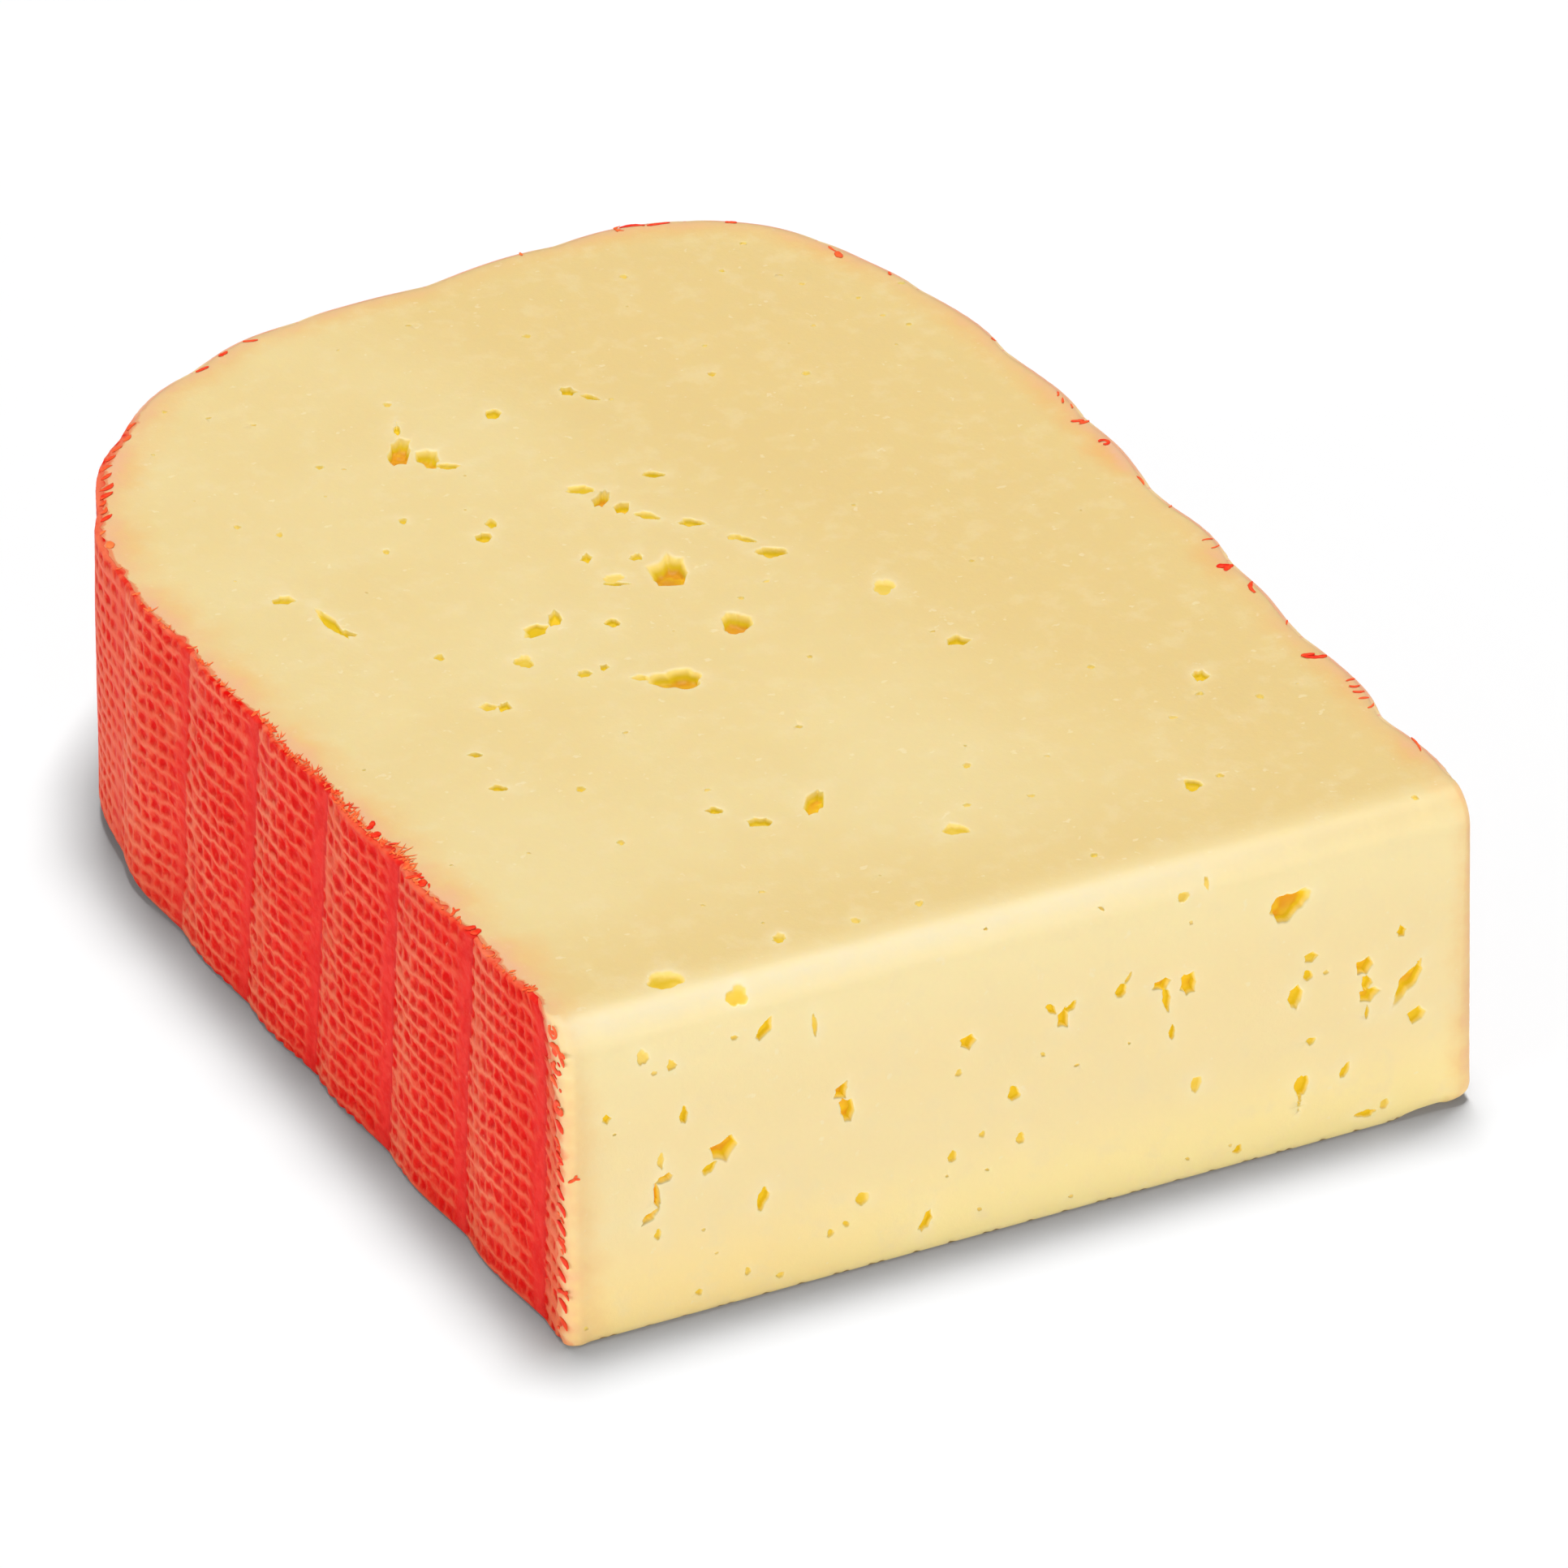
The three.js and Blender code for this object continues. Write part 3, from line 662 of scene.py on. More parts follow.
# Openings in the front cut: x, z, and the rest as above, with the turn from level.
FRONT_OPENINGS = [
    (-25.9, 28.3, 2.8, 1.3, 60, 1.2, "leaf", 50, 0.7),
    (-21.1, 27.3, 2.6, 0.7, 95, 0.5, "leaf", 0, 0.6),
    (-37.7, 28.7, 1.2, 1.9, 0, 0.35, "bean", 60, 0.9),
    (-34.9, 27.1, 1.1, 1.5, 0, 0.5, "rag", 60, 0.7),
    (-41.3, 23.2, 1.3, 1.2, 0, 0.8, "rag", 180, 0.8),
    (-33.9, 21.5, 1.9, 1.0, 90, 1.2, "leaf", 180, 0.3),
    (-30.2, 17.0, 3.2, 3.1, 0, 2.1, "rag", 270),
    (-31.6, 15.2, 1.9, 1.1, 45, 1.0, "leaf", 240, 0.7),
    (-18.5, 19.6, 2.2, 1.5, 70, 2.0, "rag", 0, 0.2),
    (-18.0, 17.4, 2.9, 1.6, 100, 2.0, "rag", 0, 0.2),
    (-36.2, 17.4, 1.9, 0.8, 90, 0.4, "leaf", 0, 0.6),
    (-35.9, 15.4, 2.3, 1.0, 15, 2.8, "rag", 90, 0.2),
    (-36.6, 13.7, 3.3, 0.9, 95, 2.9, "rag", 0, 0.2),
    (-37.3, 11.8, 2.3, 0.9, 40, 2.8, "leaf", 90, 0.2),
    (-36.6, 9.7, 1.3, 0.8, 90, 0.6, "leaf", 0),
    (-26.4, 10.5, 2.8, 1.2, 80, 1.3, "leaf", 200, 0.4),
    (-16.5, 7.6, 1.6, 1.4, 90, 0.6, "bean", 0, 0.8),
    (-6.0, 21.3, 2.0, 1.9, 0, 1.5, "rag", 0, 0.6),
    (-1.5, 14.5, 1.3, 1.5, 0, 0.9, "bean", 0, 0.4),
    (-10.2, 3.4, 2.8, 1.3, 65, 1.3, "rag", 180),
    (-7.6, 9.5, 1.0, 1.2, 0, 0.6, "bean", 0),
    (-0.8, 9.5, 1.0, 1.2, 0, 0.5, "bean", 0),
    (3.4, 21.0, 2.4, 1.5, 85, 1.8, "rag", 0, 0.3),
    (4.2, 22.1, 1.7, 0.8, 50, 1.1, "leaf", 0, 0.4),
    (2.2, 22.4, 1.6, 0.9, 130, 1.0, "leaf", 0, 0.4),
    (9.2, 22.4, 1.4, 1.2, 60, 1.2, "bean", 0, 0.3),
    (9.9, 23.5, 1.7, 0.5, 60, 0.6, "leaf", 0),
    (13.4, 21.9, 2.0, 1.8, 0, 1.9, "rag", 0, 0.2),
    (13.8, 20.2, 2.7, 1.0, 100, 1.4, "leaf", 0, 0.3),
    (16.0, 21.1, 3.6, 2.0, 105, 1.8, "rag", 150, 0.7),
    (14.4, 16.5, 1.7, 0.8, 90, 1.0, "leaf", 0, 0.3),
    (26.2, 26.8, 4.1, 2.9, 25, 2.0, "bean", 60, 0.7),
    (37.8, 20.8, 1.3, 1.4, 0, 1.1, "rag", 0, 0.4),
    (28.6, 20.6, 1.9, 1.4, 0, 0.6, "rag", 60, 0.8),
    (28.2, 18.7, 1.0, 1.2, 0, 0.8, "bean", 0),
    (26.9, 16.6, 2.8, 1.8, 80, 1.3, "rag", 320, 0.8),
    (33.9, 18.0, 2.5, 2.2, 0, 2.0, "rag", 0, 0.2),
    (34.3, 16.2, 1.9, 1.3, 90, 1.5, "rag", 0, 0.4),
    (34.5, 14.8, 2.7, 2.0, 0, 1.8, "rag", 0, 0.7),
    (34.4, 13.0, 1.6, 0.5, 90, 0.8, "leaf", 0, 0.4),
    (38.5, 15.0, 5.5, 1.9, 57, 1.8, "leaf", 230, 0.8),
    (39.6, 11.2, 2.4, 2.3, 90, 1.3, "rag", 0, 0.8),
    (28.7, 11.5, 0.9, 0.9, 0, 0.6, "bean", 0),
    (32.3, 7.3, 1.9, 1.1, 65, 0.8, "leaf", 0),
    (27.8, 6.9, 3.8, 1.5, 265, 1.4, "drop", 200, 0.3),
    (17.0, 10.2, 2.0, 1.1, 75, 0.5, "bean", 0, 0.8),
    (34.6, 1.9, 2.4, 0.9, 0, 1.2, "leaf", 90, 0.3),
    (36.6, 2.4, 1.0, 1.2, 0, 0.5, "bean", 0, 0.8),
    (21.4, 1.8, 0.9, 0.9, 0, 0.9, "bean", 0, 0.4),
    (15.5, 30.5, 1.3, 1.1, 0, 0.5, "bean", 0, 0.8),
    (17.9, 31.2, 1.5, 0.7, 90, 0.4, "leaf", 0, 0.8),
    (-19.7, 4.8, 0.8, 0.8, 0, 0.6, "bean", 0),
    (-32.7, 2.4, 0.8, 0.9, 0, 0.6, "leaf", 0),
    (-27.9, 3.2, 0.7, 0.8, 0, 0.5, "bean", 0),
    (-24.7, 1.8, 0.8, 0.7, 0, 0.5, "bean", 0),
]
# Where the rind's colour has gone into the top cut at the back: distance along, strength, reach.
BLUSHES = [
    (128.0, 0.6, 12.0),
    (150.0, 0.5, 9.0),
    (183.0, 0.7, 9.0),
    (205.0, 0.8, 7.0),
    (226.0, 0.6, 7.0),
    (243.0, 0.9, 6.0),
    (254.0, 1.4, 4.5),
    (276.0, 0.8, 4.0),
    (290.0, 0.3, 5.0),
    (301.0, 0.8, 4.5),
    (315.0, 0.8, 4.0),
]
# What the paste's material reads at each point, in this order.
PASTE_NUMBERS = (
    "rim", "rib_fullness", "corner", "sunk", "near_opening", "on_front", "front_edge", "hollow_shade_and_glow", "back",
)
FRONT_FULLNESS = 0.6       # how full the ribs count as where the front cut meets the rind
CORNER_STAINS = (1.0, 0.12)    # strength of the rind's stain at the left and right corners
PORES = 80                 # pin-prick openings, scattered over the cut faces
PORES_ACROSS = (-44, 41)
OPENING_DEPTH = 0.5        # all the depths above are taken this much shallower
FULL_HOLLOW_SHADE_DEPTH = 0.52        # an opening at least this deep takes the full painted shade and glow at its deepest
NEAR_REACH = 0.45          # and its lip is drawn pale about this far out: partly pale skin, partly a painted highlight
STEEP = 0.13               # share of an opening's half width that its steep side takes
SHAPE_ANGLES = np.linspace(0, 2 * math.pi, 145)
RING_SHARES = (1.3, 1.12, 1.04, 1.0, 0.96, 0.92, 0.87, 0.79, 0.68, 0.52, 0.34, 0.16)
SMALL_RING_SHARES = (1.3, 1.08, 1.0, 0.92, 0.82, 0.6, 0.3)


def ragged_outline(angle, rng):
    """Radius of an uneven polygon at each angle, and the angles of its corners."""
    count = int(rng.integers(5, 8))
    spacing = 2 * math.pi / count
    corners = np.arange(count) * spacing + rng.uniform(-0.3, 0.3, count) * spacing
    reach = rng.uniform(0.74, 1.15, count)
    hollow = rng.uniform(-0.05, 0.22, count)
    tips = reach[:, None] * np.stack([np.cos(corners), np.sin(corners)], 1)
    sides = np.roll(tips, -1, axis=0) - tips
    turned = np.mod(angle - corners[0], 2 * math.pi)
    begins = corners - corners[0]
    ends = np.append(begins[1:], 2 * math.pi)
    side = np.clip(np.searchsorted(ends, turned), 0, count - 1)
    share = (turned - begins[side]) / (ends[side] - begins[side])
    crossed = tips[side, 0] * sides[side, 1] - tips[side, 1] * sides[side, 0]
    radius = crossed / (np.cos(angle) * sides[side, 1] - np.sin(angle) * sides[side, 0])
    return radius * (1 - hollow[side] * 4 * share * (1 - share)), corners


def opening_outline(form, rng):
    """Radius of an opening's outline at the shape angles, and the angles of its corners."""
    angle = SHAPE_ANGLES[:-1]
    across, up = np.abs(np.cos(angle)), np.abs(np.sin(angle))
    corners = np.zeros(0)
    if form == "rag":
        radius, corners = ragged_outline(angle, rng)
    elif form == "leaf":
        radius = (across ** 1.25 + up ** 1.25) ** (-1 / 1.25)
        radius = radius * (1 + 0.14 * np.cos(angle * 2 + rng.uniform(0, 2)) * up)
        corners = np.array([0.0, math.pi])
    elif form == "drop":
        from_tail = np.mod(angle + math.pi, 2 * math.pi) - math.pi
        radius = ((across / 0.6) ** 2 + up ** 2) ** -0.5 + 0.9 * np.exp(-(from_tail / 0.2) ** 2)
        corners = np.array([0.0])
    else:
        first, second = rng.uniform(0, 6, 2)
        radius = 1 + 0.09 * np.cos(2 * angle + first) + 0.07 * np.cos(3 * angle + second)
    unevenness = 0.25 if form == "rag" else 1.0
    for lobes, size in ((3, 0.10), (5, 0.08), (8, 0.05), (13, 0.03)):
        swing = size * unevenness * rng.uniform(0.4, 1.0)
        radius = radius * (1 + swing * np.cos(lobes * angle + rng.uniform(0, 6)))
    return np.append(radius, radius[0]), corners


class Opening:
    """One irregular opening in a cut face, with steep walls and one gentle side."""

    def __init__(self, rng, middle, length, width, turn, depth, form="bean", soft_side=60, softness=0.5):
        self.middle = np.array(middle)
        self.half = np.array([length, width]) / 2
        self.turn = math.radians(turn)
        self.depth = depth * OPENING_DEPTH
        self.soft_side = math.radians(soft_side)
        self.softness = softness
        self.radius, self.corners = opening_outline(form, rng)
        self.seed = int(rng.integers(997))

    def outline(self, angle):
        """Radius of the outline, as a share of the half sizes."""
        return np.interp(np.mod(angle, 2 * math.pi), SHAPE_ANGLES, self.radius)

    def shares(self, x, run):
        """How far out points lie: 0 in the middle, 1 on the outline."""
        u, v = turned(x - self.middle[0], run - self.middle[1], -self.turn)
        u, v = u / self.half[0], v / self.half[1]
        angle = np.arctan2(v, u)
        return np.hypot(u, v) / self.outline(angle)

    def points(self, share, angle):
        """Places at a share of the way out, at angles about the middle."""
        radius = self.outline(angle) * share
        u, v = radius * np.cos(angle) * self.half[0], radius * np.sin(angle) * self.half[1]
        return self.middle + np.stack(turned(u, v, self.turn), 1)

    def sink(self, x, run):
        """Depth below the cut face: a steep wall on one side, a gentle slope on the other."""
        bearing = np.arctan2(run - self.middle[1], x - self.middle[0])
        gentle = 0.5 + 0.5 * np.cos(bearing - self.soft_side)
        slope = STEEP + (self.softness - STEEP) * gentle ** 2
        lumps = 1 + 0.16 * soft_noise(x, run, 0.7, self.seed)
        return self.depth * smoothstep(0.0, 1.0, (1 - self.shares(x, run)) / slope) * lumps

    def gap(self, x, run):
        """Roughly how far points lie outside the outline."""
        return (self.shares(x, run) - 1) * self.half.min()

    def ring_points(self):
        """Points of the mesh round and inside the opening."""
        around = math.pi * (self.half[0] + self.half[1])
        count = int(np.clip(around / RIM_STEP, 14, 76))
        rings = RING_SHARES if count >= 20 else SMALL_RING_SHARES
        places = []
        for index, share in enumerate(rings):
            sides = max(6, int(count * min(1.0, 0.35 + 0.75 * share)))
            angle = (np.arange(sides) + 0.5 * (index % 2)) / sides * 2 * math.pi
            if share >= 0.9:
                angle = np.concatenate([angle, self.corners])
            places.append(self.points(share, angle))
        places.append(self.middle[None, :])
        return np.vstack(places)


def all_openings():
    """The openings of the two cut faces that show, laid out over their common run."""
    rng = np.random.default_rng(5)
    openings = []
    for across, back, length, width, turn, *form in TOP_OPENINGS:
        middle = (across, TOP_RUN + back - TOP_START)
        openings.append(Opening(rng, middle, length, width, turn + OPENINGS_TURN, *form))
    for across, up, *form in FRONT_OPENINGS:
        openings.append(Opening(rng, (across, float(run_at_height(up))), *form))
    placed = len(openings)
    run_end = TOP_RUN + LENGTH - TOP_START
    while len(openings) < placed + PORES:
        middle = np.array([rng.uniform(*PORES_ACROSS), rng.uniform(1.5, run_end - 6)])
        length = rng.uniform(0.35, 0.85)
        width = length * rng.uniform(0.5, 1.0)
        turn, soft_side = rng.uniform(-60, 20), rng.uniform(0, 360)
        form = rng.choice(["leaf", "bean"])
        depth = length * rng.uniform(0.35, 0.8)
        pore = Opening(rng, middle, length, width, turn, depth, form, soft_side, 0.6)
        if all(np.linalg.norm(middle - o.middle) > o.half.max() * 1.4 + length for o in openings):
            openings.append(pore)
    return openings


def opening_rings(openings):
    """Mesh points of all the openings, without those that fall in a neighbour."""
    rings = []
    for number, opening in enumerate(openings):
        ring = opening.ring_points()
        for other_number, other in enumerate(openings):
            if other_number != number and np.linalg.norm(other.middle - opening.middle) < 8:
                limit = 1.02 if other_number < number else 0.9
                ring = ring[other.shares(*ring.T) > limit]
        rings.append(ring)
    return np.vstack(rings)


def spread_points(border, openings):
    """Even points over the cut faces, closer on the rounded edge, clear of the openings."""
    low, high = border.min(0), border.max(0)
    bend_low, bend_high = TOP_RUN - FRONT_EDGE_RADIUS * 1.8, TOP_RUN + 0.6
    plain = honeycomb(low, high, FACE_STEP)
    bend = honeycomb((low[0], bend_low), (high[0], bend_high), BEND_STEP)
    in_bend = (plain[:, 1] > bend_low - 0.4) & (plain[:, 1] < bend_high + 0.4)
    plain = np.vstack([plain[~in_bend], bend])
    for opening in openings:
        plain = plain[opening.shares(*plain.T) > 1.38]
    return plain


def paste_numbers(count, **known):
    """The numbers for the paste's material at a count of points, 0 where they aren't given."""
    table = np.zeros((count, len(PASTE_NUMBERS)))
    for name, values in known.items():
        table[:, PASTE_NUMBERS.index(name)] = values
    return table


def foot_line(grid):
    """The foot of the front cut, from its right corner to its left."""
    left, right = grid[0, 0], grid[-1, 0]
    share = np.linspace(0, 1, int(WIDTH / 0.9) + 1)[1:-1, None]
    return right + (left - right) * share


def in_openings(points, openings):
    """How far points are sunk in an opening, how strongly that paints shade and glow into them, and how
    near they are.
    """
    sunk, hollow_shade_and_glow, near = np.zeros((3, len(points)))
    for opening in openings:
        reach = opening.half.max()
        close = np.linalg.norm(points - opening.middle, axis=1) < 1.6 * reach + 0.6
        depth = opening.sink(*points[close].T)
        sunk[close] = np.maximum(sunk[close], depth)
        hollow_shade_and_glow[close] = np.maximum(hollow_shade_and_glow[close], depth / max(opening.depth, FULL_HOLLOW_SHADE_DEPTH))
        gap = np.clip(opening.gap(*points[close].T), 0.0, None)
        near[close] = np.maximum(near[close], min(1.0, reach) * np.exp(-gap / NEAR_REACH))
    return {"sunk": sunk, "hollow_shade_and_glow": hollow_shade_and_glow, "near_opening": near}


def by_the_rind(points, rind_edge, edge_along):
    """How far points lie from the rind, and how strongly its colour has gone into them."""
    rim, which = nearest(points, rind_edge)
    x, run = points.T
    on_front = 1 - smoothstep(TOP_RUN - 3.0, TOP_RUN + 3.0, run)
    back = smoothstep(*BACK_START, edge_along[which])
    fullness = rib_fullness(rib_share(edge_along[which], np.full(len(which), HEIGHT)))
    fullness = fullness * (1 - back) + humps(edge_along[which], BLUSHES) * back
    fullness = fullness * (1 - on_front) + FRONT_FULLNESS * on_front
    rightness = smoothstep(-10.0, 10.0, x)
    corner = on_front * (CORNER_STAINS[0] * (1 - rightness) + CORNER_STAINS[1] * rightness)
    return {"rim": rim, "rib_fullness": fullness, "corner": corner, "on_front": on_front, "back": back}


def cut_faces(grid, along):
    """The front and top cuts: points, triangles, and the numbers that colour them."""
    def flat(places):
        on_top = TOP_RUN + places[:, 1] - TOP_START
        on_front = run_at_height(places[:, 2])
        return np.stack([places[:, 0], np.where(places[:, 2] > HEIGHT - 1e-6, on_top, on_front)], 1)

    border_places = np.vstack([grid[0], grid[1:-1, -1], grid[-1, ::-1], foot_line(grid)])
    border = flat(border_places)
    openings = all_openings()
    extra = np.vstack([spread_points(border, openings), opening_rings(openings)])
    points, triangles = triangulate(border, extra, 0.25)
    x, run = points.T

    first, last = STRIP_STATIONS, len(grid) - STRIP_STATIONS - 1
    left, right = flat(grid[0]), flat(grid[-1])
    left[:, 0] -= along[first]
    right[:, 0] += RIND_LENGTH - along[last]
    rind_edge = np.vstack([left, flat(grid[first:last + 1, -1]), right])
    edge_along = np.concatenate([along[first], along[first:last + 1, -1], along[last]])
    numbers = {**in_openings(points, openings), **by_the_rind(points, rind_edge, edge_along)}
    # front_edge masks the painted highlight along the rounded edge between the front and top cuts
    numbers["front_edge"] = np.exp(-((run - TOP_RUN + 0.62 * FRONT_EDGE_RADIUS) / 1.5) ** 2)

    settle = smoothstep(0.3, 4.0, numbers["rim"])
    waves = 0.5 + 0.5 * soft_noise(x, run, 17.0, 31)
    ripples = 0.5 + 0.5 * soft_noise(x, run, 4.5, 32)
    uneven = settle * (CUT_WAVES * waves + CUT_RIPPLES * ripples)
    places = on_cut(x, run, numbers["sunk"] + uneven)
    places[:len(border)] = border_places
    return places, triangles, paste_numbers(len(points), **numbers), True


def corner_strips(grid, along):
    """The paste that shows round each front corner, in front of the rind's broken edge."""
    strips = []
    parts = (slice(0, STRIP_STATIONS + 1), slice(-STRIP_STATIONS - 1, None))
    for part, edge, stain in zip(parts, (STRIP_STATIONS, -STRIP_STATIONS - 1), CORNER_STAINS):
        points = grid[part]
        rim = np.abs(along[part] - along[edge]).ravel()
        # bend masks the same painted highlight where the strip turns onto the top cut
        bend = np.exp(-((HEIGHT - points[..., 2].ravel() - 0.6) / 1.2) ** 2)
        numbers = paste_numbers(
            len(rim), rim=rim, rib_fullness=FRONT_FULLNESS, corner=stain, on_front=1.0, front_edge=bend,
        )
        strips.append((points.reshape(-1, 3), grid_faces(len(points), points.shape[1]), numbers, True))
    return strips


def underside(grid, along):
    """The flat cut that the wedge lies on."""
    border = np.vstack([grid[:, 0], foot_line(grid)])[::-1, :2]
    extra = honeycomb(border.min(0), border.max(0), 2.6)
    points, triangles = triangulate(border, extra, 0.8)
    rim, which = nearest(points, grid[STRIP_STATIONS:-STRIP_STATIONS, 0, :2])
    fullness = rib_fullness(rib_share(along[STRIP_STATIONS + which, 0], np.zeros(len(which))))
    numbers = paste_numbers(len(points), rim=rim, rib_fullness=fullness)
    return np.column_stack([points, np.zeros(len(points))]), triangles[:, ::-1], numbers, False


# ------------------------------------------------------------------ shreds of rind on the cut edge

# On the top rim: kind, distance along the rind, distance in from it, length, width, turn, redness.
TOP_SHREDS = [
    ("tuft", 45.2, 0.10, 1.0, 0.20, 40, 0.9),
    ("tuft", 44.1, 0.15, 1.4, 0.22, 35, 0.8),
    ("tuft", 42.8, 0.20, 1.3, 0.22, 48, 0.7),
    ("tuft", 41.5, 0.25, 1.4, 0.20, 40, 0.4),
    ("tuft", 40.4, 0.25, 1.5, 0.20, 50, 0.3),
    ("bar", 38.9, 0.80, 1.4, 0.58, 50, 0.9),
    ("flake", 37.3, 0.40, 1.0, 0.80, 70, 0.9),
    ("tuft", 35.9, 0.20, 1.0, 0.24, 60, 0.6),
    ("bar", 35.1, 0.90, 0.9, 0.26, 110, 0.8),
    ("tuft", 34.3, 0.40, 1.8, 0.22, 85, 0.1),
    ("tuft", 33.0, 0.40, 1.5, 0.20, 60, 0.0),
    ("tuft", 31.9, 0.30, 1.1, 0.20, 80, 0.2),
    ("fork", 29.4, 0.30, 1.2, 0.44, 100, 0.8),
    ("flake", 28.2, 0.45, 1.2, 0.80, 30, 0.9),
    ("spike", 27.4, 0.80, 0.8, 0.30, 200, 0.8),
    ("fork", 22.7, 0.55, 1.0, 0.34, 50, 0.5),
    ("flake", 21.6, 0.35, 0.5, 0.30, 70, 0.5),
    ("flake", 19.6, 0.30, 1.0, 0.70, 100, 0.9),
    ("flake", 18.9, 0.35, 1.0, 0.80, 80, 0.9),
    ("spike", 14.5, 0.45, 0.6, 0.18, 60, 0.5),
    ("spike", 9.6, 0.30, 0.6, 0.18, 30, 0.5),
    ("fork", 6.8, 0.30, 1.0, 0.24, 100, 0.5),
    ("tuft", 50.9, 0.15, 1.1, 0.18, 40, 0.5),
    ("tuft", 49.6, 0.20, 1.4, 0.20, 45, 0.6),
    ("tuft", 48.3, 0.20, 1.2, 0.20, 30, 0.7),
    ("tuft", 52.6, 0.15, 1.0, 0.16, 60, 0.3),
    ("tuft", 56.5, 0.15, 1.2, 0.18, 40, 0.4),
    ("tuft", 58.1, 0.15, 1.0, 0.18, 50, 0.4),
    ("tuft", 60.5, 0.15, 1.1, 0.16, 60, 0.3),
    ("tuft", 66.8, 0.15, 1.0, 0.16, 30, 0.2),
    ("tuft", 70.9, 0.15, 0.9, 0.16, 50, 0.2),
    ("flake", 95.1, 0.62, 1.2, 0.90, 10, 0.1),
    ("leaf", 97.5, 0.45, 0.9, 0.36, 40, 0.2),
    ("leaf", 100.2, 0.70, 1.7, 0.60, 42, 0.8),
    ("leaf", 101.6, 0.25, 1.4, 0.40, 22, 0.6),
    ("leaf", 103.0, 0.25, 1.2, 0.40, 30, 0.6),
    ("leaf", 104.4, 0.72, 1.8, 0.66, 38, 0.8),
    ("leaf", 106.2, 0.70, 1.9, 0.62, 36, 0.7),
    ("leaf", 108.2, 0.62, 1.6, 0.50, 30, 0.7),
    ("leaf", 109.8, 0.52, 1.5, 0.46, 30, 0.6),
    ("leaf", 111.6, 0.48, 1.5, 0.46, 26, 0.7),
    ("leaf", 113.5, 0.46, 1.5, 0.42, 24, 0.6),
    ("leaf", 115.8, 0.42, 1.4, 0.46, 12, 0.5),
    ("leaf", 118.0, 0.25, 1.6, 0.40, 8, 0.6),
    ("bar", 131.1, 0.45, 1.6, 0.40, 10, 0.8),
    ("flake", 134.7, 0.25, 1.2, 0.40, 0, 0.8),
    ("bar", 138.4, 0.45, 1.5, 0.36, 30, 0.7),
    ("bar", 182.5, 0.20, 2.6, 0.36, 5, 0.9),
    ("bar", 185.2, 0.35, 2.4, 0.36, -5, 0.9),
    ("flake", 192.6, 0.20, 1.2, 0.40, 0, 0.7),
    ("flake", 206.0, 0.95, 1.2, 0.70, 30, 0.5),
    ("spike", 204.6, 0.60, 1.3, 0.40, 30, 0.5),
    ("bar", 242.0, 0.40, 0.9, 0.24, 30, 0.6),
    ("bar", 243.4, 0.60, 1.0, 0.24, 30, 0.6),
    ("bar", 244.8, 0.30, 0.8, 0.20, 20, 0.5),
    ("flake", 247.5, 0.85, 1.3, 0.50, 110, 0.7),
    ("flake", 248.1, 0.45, 1.1, 0.40, 90, 0.6),
    ("curl", 252.3, 0.75, 1.3, 0.40, 120, 0.8),
    ("bar", 260.3, 0.20, 1.8, 0.26, 5, 0.4),
    ("bar", 272.9, 0.55, 1.1, 0.22, 100, 0.5),
    ("bar", 274.3, 0.35, 1.0, 0.20, 80, 0.5),
    ("flake", 277.9, 0.95, 1.3, 0.80, 110, 0.9),
    ("flake", 278.3, 0.60, 1.3, 0.60, 60, 0.8),
    ("bar", 282.4, 0.35, 2.0, 0.46, 20, 0.7),
    ("bar", 295.8, 0.95, 2.2, 0.60, 112, 0.8),
    ("flake", 295.4, 1.40, 1.3, 0.50, 100, 0.8),
    ("flake", 300.9, 0.35, 0.9, 0.30, 90, 0.6),
    ("flake", 302.0, 0.55, 1.0, 0.32, 110, 0.7),
    ("flake", 303.0, 0.60, 1.1, 0.34, 112, 0.7),
    ("flake", 304.2, 0.55, 1.0, 0.30, 105, 0.6),
    ("bar", 305.6, 0.30, 1.0, 0.24, 60, 0.5),
    ("bar", 314.4, 0.25, 2.4, 0.26, 6, 0.5),
]
# On the front left corner: kind, distance round the corner, height, length, width, turn, redness.
CORNER_SHREDS = [
    ("ring", 2.2, 32.0, 1.4, 0.50, 0, 0.5),
    ("flake", 2.3, 32.0, 0.9, 0.50, 80, 0.6),
    ("fork", 1.7, 30.4, 1.9, 0.75, 100, 0.6),
    ("flake", 2.3, 30.6, 1.5, 0.95, 40, 0.7),
    ("curl", 2.1, 28.8, 1.6, 0.60, 90, 0.6),
    ("flake", 2.7, 28.4, 1.3, 0.70, 110, 0.6),
    ("flake", 2.7, 27.0, 1.5, 0.70, 110, 0.5),
    ("ring", 1.9, 24.8, 1.5, 0.65, 60, 0.7),
    ("leaf", 1.8, 22.9, 1.5, 0.95, 125, 0.9),
    ("flake", 2.2, 21.2, 1.0, 0.50, 120, 0.7),
    ("leaf", 1.9, 19.6, 1.5, 0.85, 125, 0.9),
    ("leaf", 1.8, 17.8, 1.4, 0.80, 120, 0.8),
    ("fork", 0.4, 17.9, 0.8, 0.35, 60, 0.6),
    ("leaf", 1.8, 16.0, 1.5, 0.85, 125, 0.9),
    ("leaf", 1.7, 14.2, 1.6, 0.85, 120, 0.9),
    ("leaf", 1.7, 12.3, 1.7, 0.90, 125, 0.9),
    ("leaf", 1.7, 10.5, 1.6, 0.80, 120, 0.8),
    ("flake", 1.3, 8.9, 1.3, 0.80, 125, 0.8),
    ("leaf", 1.8, 7.2, 1.5, 0.85, 120, 0.9),
    ("fork", 1.4, 5.6, 1.3, 0.50, 80, 0.8),
    ("leaf", 1.7, 4.1, 1.6, 0.90, 125, 0.9),
    ("leaf", 1.6, 2.2, 1.5, 0.80, 120, 0.8),
]
